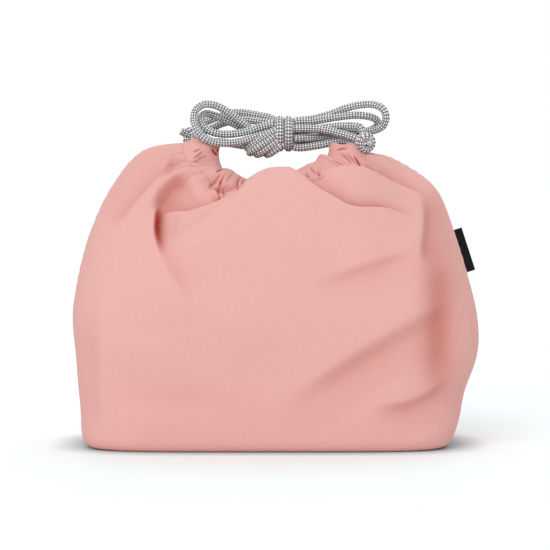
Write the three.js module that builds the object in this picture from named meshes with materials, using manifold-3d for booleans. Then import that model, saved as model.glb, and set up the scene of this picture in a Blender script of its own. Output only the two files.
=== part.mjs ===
// Drawstring pouch for a lunch box, closed and full: a boxed fabric bag with a gathered mouth,
// two cords running in a hem round the mouth and tied over it in a bow, and a woven tab in the
// right side seam.
// Millimetres, +Z up, front towards -Y, right towards +X. The origin is on the floor under the
// middle of the base.

import * as THREE from 'three';
import { mergeVertices } from 'three/addons/utils/BufferGeometryUtils.js';
import Module from 'manifold-3d';

const wasm = await Module();
wasm.setup();

// Fabric
const WALL = 1.2;
const SEAM_GAP = 0.3;

// The bag's skin, as girths from the floor up to the edge of the mouth. left, right, front and back
// say how far the skin stands from the middle. square is the power of the girth's outline: 2 is an
// ellipse, more is boxier. heights is one height for a level girth, or twelve: every 30 degrees from
// the right side round by the back, the left side and the front.
const GIRTHS = [
  { left: 95, right: 90, front: 50, back: 50, square: 5.0, heights: 0 },
  { left: 101.5, right: 97, front: 55, back: 55, square: 4.6, heights: 5 },
  { left: 103.5, right: 103, front: 58, back: 58, square: 4.0, heights: 28 },
  {
    left: 107, right: 111, front: 61, back: 60, square: 3.6,
    heights: [56, 56, 57, 58, 58, 59, 60, 59, 58, 58, 57, 56],
  },
  {
    left: 105.5, right: 107, front: 61, back: 60, square: 3.3,
    heights: [85, 85, 86, 86, 86, 86, 86, 84, 83, 88, 87, 86],
  },
  {
    left: 98, right: 99, front: 58, back: 57, square: 3.0,
    heights: [112, 112, 112, 112, 113, 114, 114, 107, 103, 115, 113, 112],
  },
  {
    left: 87, right: 88, front: 53, back: 52, square: 2.8,
    heights: [138, 135, 133, 133, 134, 136, 138, 122, 113, 137, 131, 131],
  },
  {
    left: 70, right: 67, front: 44, back: 43, square: 2.5,
    heights: [153, 149, 143, 141.5, 143, 149.5, 157.5, 139, 127, 149, 149, 146],
  },
  {
    left: 48, right: 50.5, front: 26, back: 26, square: 4.6,
    heights: [157.5, 149.5, 137, 127, 136, 150.5, 162, 152.5, 146, 129, 139, 149],
  },
  {
    left: 29.5, right: 34, front: 14, back: 14, square: 2.2,
    heights: [161, 154.5, 142.5, 136.5, 139.5, 151.5, 162, 156.5, 142.5, 141, 150, 158],
  },
];
const STITCH = GIRTHS.length - 2;
const MOUTH = GIRTHS.length - 1;

// Gathers: how many pleats the cords draw round the mouth, and how deep they are at the stitching
const PLEATS = 20;
const PLEAT_DEPTH = 0.9;
const PLEATS_START = STITCH - 0.8;

// The top of the belly's fold on the front: across and up, from left to right
const CREST = [
  [-65, 140], [-61, 138], [-54, 128], [-49, 126], [-38, 129], [-30, 131.5], [-19.5, 137], [-13, 144.5],
  [-6, 149], [0, 150.5], [8, 150], [12, 148], [17.5, 146.5], [23.5, 148], [30, 150.5], [38.5, 150.5],
  [48, 149.5], [57, 146], [63, 144],
];
const CREST_LEVEL = STITCH - 1;
const CREST_SPREAD = { below: 1.3, above: 0.9, most: 9, fadeFromSeam: 0.5 };

// Folds of the cloth, each along a smooth line of points across and up its panel, as seen from
// outside it. On the left of its way the cloth drops over the width edge and comes back over reach.
// A crown stands along the line. fade is the share of its length over which it starts and ends.
const FRONT_FOLDS = [
  {
    points: [[-91, 113], [-77, 121.5], [-64, 135.5], [-49, 147.5]],
    drop: 2.4, edge: 5, reach: 9, crown: 0.8, crownWidth: 5, fade: [0.3, 0.2],
  },
  {
    points: [[-43.5, 149], [-54, 143], [-61, 131.5], [-63, 120], [-59.5, 107], [-50, 92], [-45.5, 87]],
    drop: 5.5, edge: 4, reach: 8, crown: 0.9, crownWidth: 5, fade: [0.25, 0.5],
  },
  {
    points: [[-59.5, 121.5], [-48, 125.5], [-37.5, 128.5], [-29.5, 131], [-19, 137], [-13.5, 143.5]],
    drop: 4.0, edge: 5, reach: 9, crown: 1.0, crownWidth: 5, fade: [0.15, 0.2],
  },
  {
    points: [[9.5, 147.5], [29, 139], [38.5, 132], [54.5, 129.5], [73.5, 124.5], [82, 120]],
    drop: 4.2, edge: 5, reach: 10, crown: 1.0, crownWidth: 5, fade: [0.12, 0.3],
  },
  {
    points: [[28, 150], [49, 148.5], [69, 140], [85.5, 132]],
    drop: 4.2, edge: 5, reach: 9, crown: 1.2, crownWidth: 6, fade: [0.15, 0.25],
  },
  {
    points: [[75.5, 137], [77, 117.5], [77, 94]],
    drop: 2.4, edge: 7, reach: 12, crown: 0.8, crownWidth: 6, fade: [0.3, 0.35],
  },
];
const BACK_FOLDS = [
  {
    points: [[-81.5, 113.5], [-59, 130], [-41, 146]],
    drop: 3.4, edge: 5, reach: 9, crown: 0.9, crownWidth: 6, fade: [0.3, 0.2],
  },
  {
    points: [[-44.5, 129], [-17, 138.5], [4, 144.5]],
    drop: 2.2, edge: 5, reach: 7, crown: 0.8, crownWidth: 5, fade: [0.3, 0.3],
  },
  {
    points: [[15.5, 144.5], [37, 134], [62, 128], [77.5, 120]],
    drop: 3.6, edge: 5, reach: 9, crown: 0.8, crownWidth: 5, fade: [0.2, 0.3],
  },
  {
    points: [[-63.5, 83], [-60.5, 106], [-52, 122.5]],
    drop: 3.4, edge: 5, reach: 8, crown: 0.5, crownWidth: 5, fade: [0.5, 0.25],
  },
];

// Grid of the panels and of the hem
const COLUMNS_PER_PLEAT = 4;
const PANEL_ROWS = [1, 1, 1, 1, 3, 4, 4, 4];
const HEM_COLUMNS_PER_PLEAT = 3;
const HEM_OUTER_SIDES = 12;
const HEM_TUNNEL_SIDES = 8;

// Hem: the doubled band round the mouth, with the cords in its tunnel, open at both sides
const CORD_DIAMETER = 4.2;
const CORD_SIDES = 8;
const CORD_STEP = 10;
const TIGHT_STEP = 4.5;
const TUNNEL_CLEARANCE = 0.8;
const TUNNEL_HALF_HEIGHT = CORD_DIAMETER / 2 + TUNNEL_CLEARANCE;
const HEM_PLY = 0.8;
const HEM_PLEAT_DEPTH = 0.5;
const HEM_CLEARANCE = 0.9;
const EXIT_HALF_WIDTH = 7.4;
const CORD_PITCH = CORD_DIAMETER + 0.5;
const CROSSING_DIP = 2.8;
const HELD_CORD_PLACES = 60;
const HELD_CORD_GAP = 0.004;
const RUN_STEP = 0.01;

// Tab: a ribbon folded once and sewn into the right side seam
const TAB_WIDTH = 23;
const TAB_REACH = 8;
const TAB_PLY = 0.45;
const TAB_INSIDE = 0.4;
const TAB_STANDOFF = 0.8;
const TAB_MIDDLE_HEIGHT = 105;

// Knots
const BOW_MIDDLE = new THREE.Vector3(6.5, -1, 167.3);
const BOW_CORE = { halfHeight: 6.4, halfDepth: 6.6, length: 9.6 };
const TURN_RADIUS = 2.3;
const TURN_SPACING = 4.9;
const TURN_SQUASH = 1.04;
const END_KNOT_RADIUS = 6;
const RIGHT_END_KNOT = new THREE.Vector3(50.6, -9.6, 163.9);
const LEFT_END_KNOT = new THREE.Vector3(-43.3, 17, 165.2);

// Materials
const fabric = new THREE.MeshStandardMaterial({ color: '#e8b1ac', roughness: 0.85, metalness: 0 });
const hemFabric = new THREE.MeshStandardMaterial({ color: '#e6aca7', roughness: 0.85, metalness: 0 });
const braid = new THREE.MeshStandardMaterial({ color: '#b9b9ba', roughness: 0.75, metalness: 0 });
const ribbon = new THREE.MeshStandardMaterial({ color: '#1c1b1d', roughness: 0.7, metalness: 0 });

// Blend four neighbouring values into a smooth curve through the middle two
function through(before, from, to, after, t) {
  const slopeFrom = (to - before) / 2;
  const slopeTo = (after - from) / 2;
  const bend = 2 * (from - to) + slopeFrom + slopeTo;
  const lean = 3 * (to - from) - 2 * slopeFrom - slopeTo;
  return ((bend * t + lean) * t + slopeFrom) * t + from;
}

// How many directions round the bag a girth's heights are given for
const DIRECTIONS = 12;

// The girth at a level between the listed ones
function girthAt(level) {
  const last = GIRTHS.length - 1;
  const index = Math.min(Math.floor(level), last - 1);
  const near = [index - 1, index, index + 1, index + 2].map((i) => GIRTHS[THREE.MathUtils.clamp(i, 0, last)]);
  const mix = (pick) => through(pick(near[0]), pick(near[1]), pick(near[2]), pick(near[3]), level - index);
  return {
    left: mix((g) => g.left),
    right: mix((g) => g.right),
    front: mix((g) => g.front),
    back: mix((g) => g.back),
    square: mix((g) => g.square),
    heights: Array.from({ length: DIRECTIONS }, (_, side) => mix((g) => g.heights[side] ?? g.heights)),
  };
}

// The height of a girth at an angle, on a smooth curve through the heights round it
function heightAt(girth, angle) {
  const turn = THREE.MathUtils.euclideanModulo((DIRECTIONS * angle) / (2 * Math.PI), DIRECTIONS);
  const side = Math.floor(turn);
  const near = [-1, 0, 1, 2].map((i) => girth.heights[(side + i + DIRECTIONS) % DIRECTIONS]);
  return through(...near, turn - side);
}

// A point on a girth's outline: angle 0 is the right side, a quarter turn is the back
function outlinePoint(angle, level) {
  const girth = girthAt(level);
  const across = Math.cos(angle);
  const along = Math.sin(angle);
  const power = 2 / girth.square;
  return new THREE.Vector3(
    (across > 0 ? girth.right : girth.left) * Math.sign(across) * Math.abs(across) ** power,
    (along > 0 ? girth.back : girth.front) * Math.sign(along) * Math.abs(along) ** power,
    heightAt(girth, angle),
  );
}

// The height of the belly's top at a place across the front
function crestHeight(across) {
  const next = CREST.findIndex(([x]) => x > across);
  const [before, after] = [CREST[next - 1], CREST[next]];
  return THREE.MathUtils.mapLinear(across, before[0], after[0], before[1], after[1]);
}

// How far up the front's skin moves so that the belly's top follows its crest
function crestLift(angle, level) {
  const near = THREE.MathUtils.smoothstep(level, CREST_LEVEL - CREST_SPREAD.below, CREST_LEVEL)
    * (1 - THREE.MathUtils.smoothstep(level, CREST_LEVEL, CREST_LEVEL + CREST_SPREAD.above));
  const top = outlinePoint(angle, CREST_LEVEL);
  if (near === 0 || top.y > 0 || top.x <= CREST[0][0] || top.x >= CREST[CREST.length - 1][0]) return 0;
  const fromSeam = Math.asin(Math.abs(Math.sin(angle)));
  const miss = THREE.MathUtils.clamp(crestHeight(top.x) - top.z, -CREST_SPREAD.most, CREST_SPREAD.most);
  return near * miss * THREE.MathUtils.smoothstep(fromSeam, 0, CREST_SPREAD.fadeFromSeam);
}

// A point of the smooth skin
function smoothSkin(angle, level) {
  const point = outlinePoint(angle, level);
  point.z += crestLift(angle, level);
  return point;
}

// The direction square to the smooth skin, pointing out of the bag
function skinNormal(angle, level) {
  const step = 0.02;
  const low = Math.max(level - step, 0);
  const high = Math.min(level + step, MOUTH);
  const round = smoothSkin(angle + step, level).sub(smoothSkin(angle - step, level));
  const up = smoothSkin(angle, high).sub(smoothSkin(angle, low));
  return round.cross(up).normalize();
}

// Where a place lies beside a line: its distance, positive on the left of the line's way, and how
// far along the line the nearest point is, from 0 to 1
function besideLine(line, place) {
  let nearest = { gap: Infinity };
  for (let i = 0; i < line.length - 1; i++) {
    const way = line[i + 1].clone().sub(line[i]);
    const off = place.clone().sub(line[i]);
    const along = THREE.MathUtils.clamp(off.dot(way) / way.lengthSq(), 0, 1);
    const gap = off.distanceTo(way.clone().multiplyScalar(along));
    if (gap < nearest.gap) {
      nearest = { gap, left: Math.sign(way.cross(off)) || 1, share: (i + along) / (line.length - 1) };
    }
  }
  return { distance: nearest.left * nearest.gap, share: nearest.share };
}

// A fold with its smooth line
function drawn(fold) {
  const points = fold.points.map(([across, up]) => new THREE.Vector2(across, up));
  return { ...fold, line: new THREE.SplineCurve(points).getPoints(8 * points.length) };
}

const FOLDS = { front: FRONT_FOLDS.map(drawn), back: BACK_FOLDS.map(drawn) };

// How far a fold lifts the cloth at a place
function foldLift(fold, place) {
  const { distance, share } = besideLine(fold.line, place);
  const past = Math.max(distance, 0);
  const dropped = fold.drop * THREE.MathUtils.smoothstep(past, 0, fold.edge)
    * Math.exp(-Math.max(past - fold.edge, 0) / fold.reach);
  const crowned = fold.crown * Math.exp(-((distance / fold.crownWidth) ** 2));
  const fade = THREE.MathUtils.smoothstep(share, 0, fold.fade[0])
    * THREE.MathUtils.smoothstep(1 - share, 0, fold.fade[1]);
  return fade * (crowned - dropped);
}

// A point of one panel with its folds and pleats, set in from the outside by depth. Folds fade out
// where the cloth turns away from their panel's side.
function panelPoint(side, angle, level, depth) {
  const point = smoothSkin(angle, level);
  const normal = skinNormal(angle, level);
  const place = new THREE.Vector2(-side * point.x, point.z);
  const folds = side < 0 ? FOLDS.front : FOLDS.back;
  const facing = THREE.MathUtils.smoothstep(side * normal.y, 0.05, 0.4);
  const lift = folds.reduce((sum, fold) => sum + foldLift(fold, place), 0);
  const gathered = THREE.MathUtils.smoothstep(level, PLEATS_START, STITCH);
  const pleat = gathered * PLEAT_DEPTH * Math.cos(PLEATS * angle);
  return point.addScaledVector(normal, facing * lift + pleat - depth);
}

// Keep a point on its own side of the side seams: side is -1 for the front half, 1 for the back
function onSide(point, side) {
  point.y = side * Math.max(side * point.y, SEAM_GAP / 2);
  return point;
}

// Turn an indexed mesh inside out if its faces point into it
function facingOut(positions, triangles) {
  const [a, b, c] = [new THREE.Vector3(), new THREE.Vector3(), new THREE.Vector3()];
  let volume = 0;
  for (let i = 0; i < triangles.length; i += 3) {
    a.fromArray(positions, 3 * triangles[i]);
    b.fromArray(positions, 3 * triangles[i + 1]);
    c.fromArray(positions, 3 * triangles[i + 2]);
    volume += a.dot(b.cross(c));
  }
  const index = volume < 0 ? triangles.reverse() : triangles;
  const geometry = new THREE.BufferGeometry();
  geometry.setAttribute('position', new THREE.Float32BufferAttribute(positions, 3));
  geometry.setIndex(index);
  return geometry;
}

// A closed wall between two grids of points of the same size, joined along their four edges
function wallBetween(outer, inner) {
  const rows = outer.length;
  const columns = outer[0].length;
  const positions = [...outer.flat(), ...inner.flat()].flatMap((p) => p.toArray());
  const triangles = [];
  const at = (layer, i, j) => layer * rows * columns + i * columns + j;
  const quad = (a, b, c, d) => triangles.push(a, b, c, a, c, d);
  for (let i = 0; i < rows - 1; i++) {
    for (let j = 0; j < columns - 1; j++) {
      quad(at(0, i, j), at(0, i, j + 1), at(0, i + 1, j + 1), at(0, i + 1, j));
      quad(at(1, i, j), at(1, i + 1, j), at(1, i + 1, j + 1), at(1, i, j + 1));
    }
  }
  for (let j = 0; j < columns - 1; j++) {
    quad(at(0, 0, j), at(1, 0, j), at(1, 0, j + 1), at(0, 0, j + 1));
    quad(at(0, rows - 1, j), at(0, rows - 1, j + 1), at(1, rows - 1, j + 1), at(1, rows - 1, j));
  }
  for (let i = 0; i < rows - 1; i++) {
    quad(at(0, i, 0), at(0, i + 1, 0), at(1, i + 1, 0), at(1, i, 0));
    quad(at(0, i, columns - 1), at(1, i, columns - 1), at(1, i + 1, columns - 1), at(0, i + 1, columns - 1));
  }
  return facingOut(positions, triangles);
}

// One half of the bag's wall, from the base edge up to the stitching under the hem
function panelGeometry(side) {
  const columns = (PLEATS / 2) * COLUMNS_PER_PLEAT;
  const levels = PANEL_ROWS.flatMap((rows, girth) =>
    Array.from({ length: rows }, (_, i) => girth + i / rows),
  );
  levels.push(STITCH);
  const grid = (depth) =>
    levels.map((level) =>
      Array.from({ length: columns + 1 }, (_, j) =>
        onSide(panelPoint(side, (side * Math.PI * j) / columns, level, depth), side),
      ),
    );
  return wallBetween(grid(0), grid(WALL));
}

// The base: a plate inside the foot of the walls, with the outline of their lowest girth
function baseGeometry() {
  const sides = 48;
  const outline = Array.from({ length: sides }, (_, i) => {
    const edge = smoothSkin((2 * Math.PI * i) / sides, 0);
    const inset = WALL + SEAM_GAP;
    return new THREE.Vector2(edge.x - inset * Math.sign(edge.x), edge.y - inset * Math.sign(edge.y));
  });
  return new THREE.ExtrudeGeometry(new THREE.Shape(outline), { depth: WALL, bevelEnabled: false });
}

// The hem's frame at an angle: its middle, the way from the mouth to the stitching, the way up
// through its two plies, and half its width
function hemFrame(angle) {
  const mouthEdge = smoothSkin(angle, MOUTH);
  const stitchEdge = smoothSkin(angle, STITCH);
  const up = skinNormal(angle, (MOUTH + STITCH) / 2);
  const outward = stitchEdge.clone().sub(mouthEdge);
  const halfWidth = outward.length() / 2 - HEM_CLEARANCE;
  const middle = mouthEdge.add(stitchEdge).multiplyScalar(0.5).addScaledVector(up, -WALL / 2);
  outward.normalize();
  return { middle, outward, up, halfWidth };
}

// The angle at which the hem ends beside an exit for the cords
const exitAngle = Math.asin(EXIT_HALF_WIDTH / Math.abs(hemFrame(-Math.PI / 2).middle.y));

// One half of the hem: a flat tube of doubled fabric with its tunnel open at both exits
function hemGeometry(side) {
  const columns = (PLEATS / 2) * HEM_COLUMNS_PER_PLEAT;
  const positions = [];
  const triangles = [];
  const ring = (angle, sides, halfWidth, halfHeight, pleat) => {
    const { middle, outward, up } = hemFrame(angle);
    const first = positions.length / 3;
    for (let k = 0; k < sides; k++) {
      const turn = (2 * Math.PI * k) / sides;
      const height = Math.sin(turn) * (halfHeight + (Math.sin(turn) > 0 ? pleat : 0));
      const point = middle.clone().addScaledVector(outward, Math.cos(turn) * halfWidth);
      positions.push(...point.addScaledVector(up, height).toArray());
    }
    return first;
  };
  const outerRings = [];
  const tunnelRings = [];
  for (let j = 0; j <= columns; j++) {
    const angle = side * (exitAngle + ((Math.PI - 2 * exitAngle) * j) / columns);
    const { halfWidth } = hemFrame(angle);
    const pleat = HEM_PLEAT_DEPTH * (1 + Math.cos(PLEATS * angle));
    outerRings.push(ring(angle, HEM_OUTER_SIDES, halfWidth, TUNNEL_HALF_HEIGHT + HEM_PLY, pleat));
    tunnelRings.push(ring(angle, HEM_TUNNEL_SIDES, halfWidth - HEM_PLY, TUNNEL_HALF_HEIGHT, 0));
  }
  const skinBetween = (a, b, sides, inward) => {
    for (let k = 0; k < sides; k++) {
      const next = (k + 1) % sides;
      const [p, q] = inward ? [b, a] : [a, b];
      triangles.push(p + k, q + k, q + next, p + k, q + next, p + next);
    }
  };
  for (let j = 0; j < columns; j++) {
    skinBetween(outerRings[j], outerRings[j + 1], HEM_OUTER_SIDES, false);
    skinBetween(tunnelRings[j], tunnelRings[j + 1], HEM_TUNNEL_SIDES, true);
  }
  endFace(outerRings[0], tunnelRings[0], true);
  endFace(outerRings[columns], tunnelRings[columns], false);
  return facingOut(positions, triangles);

  // Triangles across the end of the tube, walking round both outlines together
  function endFace(outer, tunnel, first) {
    let o = 0;
    let t = 0;
    while (o < HEM_OUTER_SIDES || t < HEM_TUNNEL_SIDES) {
      const a = outer + (o % HEM_OUTER_SIDES);
      const b = tunnel + (t % HEM_TUNNEL_SIDES);
      const outerNext = (o + 1) / HEM_OUTER_SIDES <= (t + 1) / HEM_TUNNEL_SIDES;
      const c = outerNext ? outer + ((o + 1) % HEM_OUTER_SIDES) : tunnel + ((t + 1) % HEM_TUNNEL_SIDES);
      triangles.push(...(first ? [a, c, b] : [a, b, c]));
      if (outerNext) o++;
      else t++;
    }
  }
}

// A cord's round section
function cordSection() {
  const points = Array.from({ length: CORD_SIDES }, (_, i) => {
    const turn = (2 * Math.PI * (i + 0.5)) / CORD_SIDES;
    return new THREE.Vector2(Math.cos(turn), Math.sin(turn)).multiplyScalar(CORD_DIAMETER / 2);
  });
  return new THREE.Shape(points);
}

// A tube along a smooth route through hand-chosen points
function cordGeometry(points, stepLength) {
  const route = new THREE.CatmullRomCurve3(points.map((p) => new THREE.Vector3(...p)), false, 'centripetal');
  const steps = Math.max(3, Math.round(route.getLength() / stepLength));
  return new THREE.ExtrudeGeometry(cordSection(), { steps, extrudePath: route, bevelEnabled: false });
}

// The stretch of a cord inside the hem: from one side of its own exit round to the other.
// place is -1 for the cord beside the mouth edge and 1 for the one beside the stitching
function heldCordGeometry(ownExit, place) {
  const start = exitAngle + HELD_CORD_GAP;
  const round = 2 * (Math.PI - start);
  const points = Array.from({ length: HELD_CORD_PLACES + 1 }, (_, i) => {
    const angle = ownExit + start + (round * i) / HELD_CORD_PLACES;
    const { middle, outward } = hemFrame(angle);
    const run = hemFrame(angle + RUN_STEP).middle.sub(hemFrame(angle - RUN_STEP).middle).normalize();
    const across = outward.projectOnPlane(run).normalize();
    const point = middle.addScaledVector(across, (place * CORD_PITCH) / 2);
    const nearOtherExit = 1 - Math.abs(point.y) / (EXIT_HALF_WIDTH - CORD_DIAMETER / 2);
    if (place < 0 && Math.sign(point.x) !== Math.sign(Math.cos(ownExit)) && nearOtherExit > 0) {
      point.z -= CROSSING_DIP * THREE.MathUtils.smoothstep(nearOtherExit, 0, 0.9);
    }
    return point.toArray();
  });
  return cordGeometry(points, TIGHT_STEP);
}

// Free stretches of the cords over the mouth. The left cord's two ends leave the left exit and the
// right cord's the right one; each runs into the bow's knot, out round its loop, back through the
// knot and on to the knot that joins the cord's two ends.
const STRETCHES = {
  left_leg_front: [
    [-35.1, -9.9, 157], [-35.7, -9, 158.2], [-36, -7.4, 160.4], [-34, -5.2, 162.2],
    [-28, -3.2, 162.8], [-20, -2.6, 161.6], [-15.8, -2.6, 161],
  ],
  left_leg_back: [
    [-35.3, 9.7, 154.5], [-35.7, 9, 155.7], [-36, 7.6, 158.6], [-34.4, 5.6, 161.4],
    [-28, 3.2, 162.6], [-20, 2.6, 161.6], [-15.8, 2.6, 161],
  ],
  left_loop_outer: [
    [0.9, -6, 167.6], [-6, -6.6, 166.6], [-12, -7.6, 164.6], [-18, -9, 162.9], [-25, -10.8, 162.3],
    [-31, -12.2, 163], [-36.5, -12.5, 165.6], [-40.5, -11, 170], [-42, -8.5, 175.4], [-40.6, -6, 180.4],
    [-36.5, -4, 183], [-31, -3, 182.6], [-24, -2, 179.2], [-17, -1.2, 174], [-9, -0.6, 168.4],
    [-4, -0.6, 167.2], [0.9, -0.6, 167.2],
  ],
  left_loop_inner: [
    [0.9, -3.4, 172], [-6, -4.8, 171], [-12, -5.8, 169], [-19.4, -7, 167.4], [-27, -8, 167.2],
    [-33, -8, 168.6], [-37, -6, 171.6], [-38.2, -2.6, 175.4], [-36, 1.2, 178], [-31, 2.8, 177],
    [-24, 3.4, 174.2], [-17, 3.8, 170.8], [-9, 4.1, 168.6], [0.9, 4.1, 167.8],
  ],
  left_tail_lower: [
    [0.9, 1.3, 172.4], [-8, 4.2, 174], [-18, 8, 174.8], [-27, 11.4, 172.6], [-33.5, 14.2, 169.6],
    [-37.6, 15.6, 168],
  ],
  left_tail_upper: [
    [0.9, 5.7, 174.8], [-9, 8.4, 177.4], [-19, 12, 178.6], [-28, 15.4, 176.6], [-35.6, 18.4, 173.6],
    [-40, 18.8, 171.6],
  ],
  right_leg_front: [
    [42.5, -11.8, 154.7], [43.2, -11, 155.6], [43.8, -9.4, 157.8], [43.5, -7.3, 160.3],
    [40.8, -4.9, 163], [34, -3.5, 162.8], [24, -3.2, 160.9], [12, -3, 160.2],
  ],
  right_leg_back: [
    [42.6, 12, 154.2], [43.2, 11.1, 155.4], [44.1, 9.3, 158.2], [43.3, 6.9, 161.3], [39.4, 4.3, 163.5],
    [32, 2, 164.5], [25, -0.1, 165.1], [18, -3, 165.2], [12.1, -4.6, 165],
  ],
  right_loop_outer: [
    [11.9, 3.8, 173.6], [22, 5.2, 175.2], [31, 5.6, 177.6], [40, 4, 181], [48, 2, 182.8],
    [54.9, -0.5, 182.9], [59.6, -2.5, 180.6], [61.3, -3, 176.4], [59.8, -1.5, 171.6], [55, 1, 169],
    [46, 3.5, 168.5], [34, 4.4, 169], [22, 4.8, 169.3], [12, 4.8, 168.8],
  ],
  right_loop_inner: [
    [11.9, -1, 173.2], [22, 0.6, 174], [33.7, 1.4, 176], [45, 1.6, 177.2], [52.6, 2.8, 176.4],
    [56.6, 6.2, 174.4], [57, 9.5, 171.4], [53, 11, 168.9], [46, 10.6, 167.8], [36, 9.6, 167.3],
    [27, 7.6, 165.6], [19, 4.4, 163.2], [15, 2.4, 163.2], [12.1, 1.7, 163.4],
  ],
  right_tail_lower: [
    [11.9, -5, 170], [20, -5.6, 170.2], [28, -6.2, 169.6], [37, -7.4, 167.4], [44.4, -8.9, 165.2],
  ],
  right_tail_upper: [
    [11.9, -0.3, 168.4], [22, -0.9, 169.6], [33.7, -2.6, 171.2], [41, -4.6, 171.6], [47.4, -7.2, 170.6],
  ],
};

// The half knot under the bow: two bends of cord side by side
const HALF_KNOT_BENDS = [
  [
    [4, -2, 163.4], [-2, -6, 162], [-8, -7, 159.6], [-12.4, -5.4, 157.4], [-12.4, -1.4, 156.4],
    [-6, 1.4, 158.4], [3, 1, 162],
  ],
  [[5, -3, 162], [0, -6.6, 159.4], [-5, -6.8, 156.4], [-7.6, -3.6, 155], [-5, 0, 155.4], [3, -1, 160]],
];

// A solid from a closed three.js geometry
function solid(geometry) {
  const bare = geometry.clone();
  bare.deleteAttribute('normal');
  bare.deleteAttribute('uv');
  const merged = mergeVertices(bare, 1e-4);
  return new wasm.Manifold(
    new wasm.Mesh({
      numProp: 3,
      vertProperties: new Float32Array(merged.attributes.position.array),
      triVerts: new Uint32Array(merged.index.array),
    }),
  );
}

// A three.js geometry from a solid
function geometryOf(manifold) {
  const mesh = manifold.getMesh();
  const geometry = new THREE.BufferGeometry();
  geometry.setAttribute('position', new THREE.BufferAttribute(new Float32Array(mesh.vertProperties), 3));
  geometry.setIndex(new THREE.BufferAttribute(new Uint32Array(mesh.triVerts), 1));
  return geometry;
}

function joined(geometries) {
  return geometryOf(geometries.map(solid).reduce((sum, next) => sum.add(next)));
}

// The bow's knot: two turns of cord side by side round the bundle, and the half knot under them
function bowKnotGeometry() {
  const core = new THREE.CylinderGeometry(1, 1, BOW_CORE.length, 20);
  core.rotateZ(Math.PI / 2).scale(1, BOW_CORE.halfDepth, BOW_CORE.halfHeight);
  core.translate(BOW_MIDDLE.x, BOW_MIDDLE.y, BOW_MIDDLE.z);
  const turns = [-1, 1].map((side) => {
    const turn = new THREE.TorusGeometry(BOW_CORE.halfDepth + 0.4, TURN_RADIUS, 8, 20);
    turn.rotateY(Math.PI / 2).scale(1, 1, TURN_SQUASH);
    return turn.translate(BOW_MIDDLE.x + (side * TURN_SPACING) / 2, BOW_MIDDLE.y, BOW_MIDDLE.z - side * 0.3);
  });
  const halfKnot = HALF_KNOT_BENDS.map((points) => cordGeometry(points, TIGHT_STEP));
  return joined([core, ...turns, ...halfKnot]);
}

// A cord's end knot: two crossed turns pulled tight round a filled middle
function endKnotGeometry(tilt) {
  const core = new THREE.SphereGeometry(END_KNOT_RADIUS * 0.72, 12, 8);
  const turnRadius = CORD_DIAMETER / 2;
  const turns = [
    [0.5, tilt],
    [-1.0, tilt + 1.3],
  ].map(([pitch, yaw]) => {
    const turn = new THREE.TorusGeometry(END_KNOT_RADIUS - turnRadius, turnRadius, 7, 14);
    return turn.rotateX(pitch).rotateZ(yaw);
  });
  return joined([core, ...turns]);
}

// The tab: a hairpin of ribbon, open towards the seam and folded at its outer edge
function tabGeometry() {
  const half = TAB_INSIDE / 2;
  const outline = new THREE.Shape();
  outline.moveTo(0, half);
  outline.lineTo(TAB_REACH - half - TAB_PLY, half);
  outline.absarc(TAB_REACH - half - TAB_PLY, 0, half, Math.PI / 2, -Math.PI / 2, true);
  outline.lineTo(0, -half);
  outline.lineTo(0, -half - TAB_PLY);
  outline.lineTo(TAB_REACH - half - TAB_PLY, -half - TAB_PLY);
  outline.absarc(TAB_REACH - half - TAB_PLY, 0, half + TAB_PLY, -Math.PI / 2, Math.PI / 2, false);
  outline.lineTo(0, half + TAB_PLY);
  outline.closePath();
  const extent = { depth: TAB_WIDTH, bevelEnabled: false, curveSegments: 6 };
  return new THREE.ExtrudeGeometry(outline, extent).translate(0, 0, -TAB_WIDTH / 2);
}

function piece(name, geometry, material) {
  const mesh = new THREE.Mesh(geometry, material);
  mesh.name = name;
  return mesh;
}

const pouch = new THREE.Group();

const body = new THREE.Group();
body.add(piece('base_panel', baseGeometry(), fabric));
body.add(piece('front_panel', panelGeometry(-1), fabric));
body.add(piece('back_panel', panelGeometry(1), fabric));
body.add(piece('front_hem', hemGeometry(-1), hemFabric));
body.add(piece('back_hem', hemGeometry(1), hemFabric));
body.add(piece('left_cord_in_hem', heldCordGeometry(Math.PI, -1), braid));
body.add(piece('right_cord_in_hem', heldCordGeometry(0, 1), braid));
pouch.add(body);

// The level at which the right side seam passes a height
function levelAtHeight(height) {
  let [low, high] = [0, STITCH];
  for (let i = 0; i < 40; i++) {
    const middle = (low + high) / 2;
    if (smoothSkin(0, middle).z < height) low = middle;
    else high = middle;
  }
  return low;
}

// The tab stands square out of the seam, along the seam's own slope
const tab = piece('side_tab', tabGeometry(), ribbon);
const seamLow = smoothSkin(0, levelAtHeight(TAB_MIDDLE_HEIGHT - TAB_WIDTH / 2));
const seamHigh = smoothSkin(0, levelAtHeight(TAB_MIDDLE_HEIGHT + TAB_WIDTH / 2));
const seamLean = Math.atan2(seamHigh.x - seamLow.x, seamHigh.z - seamLow.z);
const seamBulge = smoothSkin(0, levelAtHeight(TAB_MIDDLE_HEIGHT)).x - (seamLow.x + seamHigh.x) / 2;
const tabMount = new THREE.Group();
tabMount.position.copy(seamLow).add(seamHigh).multiplyScalar(0.5);
tabMount.rotation.y = seamLean;
tab.position.x = TAB_STANDOFF + Math.max(seamBulge, 0);
tabMount.add(tab);
pouch.add(tabMount);

const bow = new THREE.Group();
for (const [name, points] of Object.entries(STRETCHES)) {
  const stepLength = name.includes('leg') ? TIGHT_STEP : CORD_STEP;
  bow.add(piece(name, cordGeometry(points, stepLength), braid));
}
bow.add(piece('bow_knot', bowKnotGeometry(), braid));
const leftKnot = piece('left_end_knot', endKnotGeometry(0.4), braid);
leftKnot.position.copy(LEFT_END_KNOT);
bow.add(leftKnot);
const rightKnot = piece('right_end_knot', endKnotGeometry(2.2), braid);
rightKnot.position.copy(RIGHT_END_KNOT);
bow.add(rightKnot);
pouch.add(bow);

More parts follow.
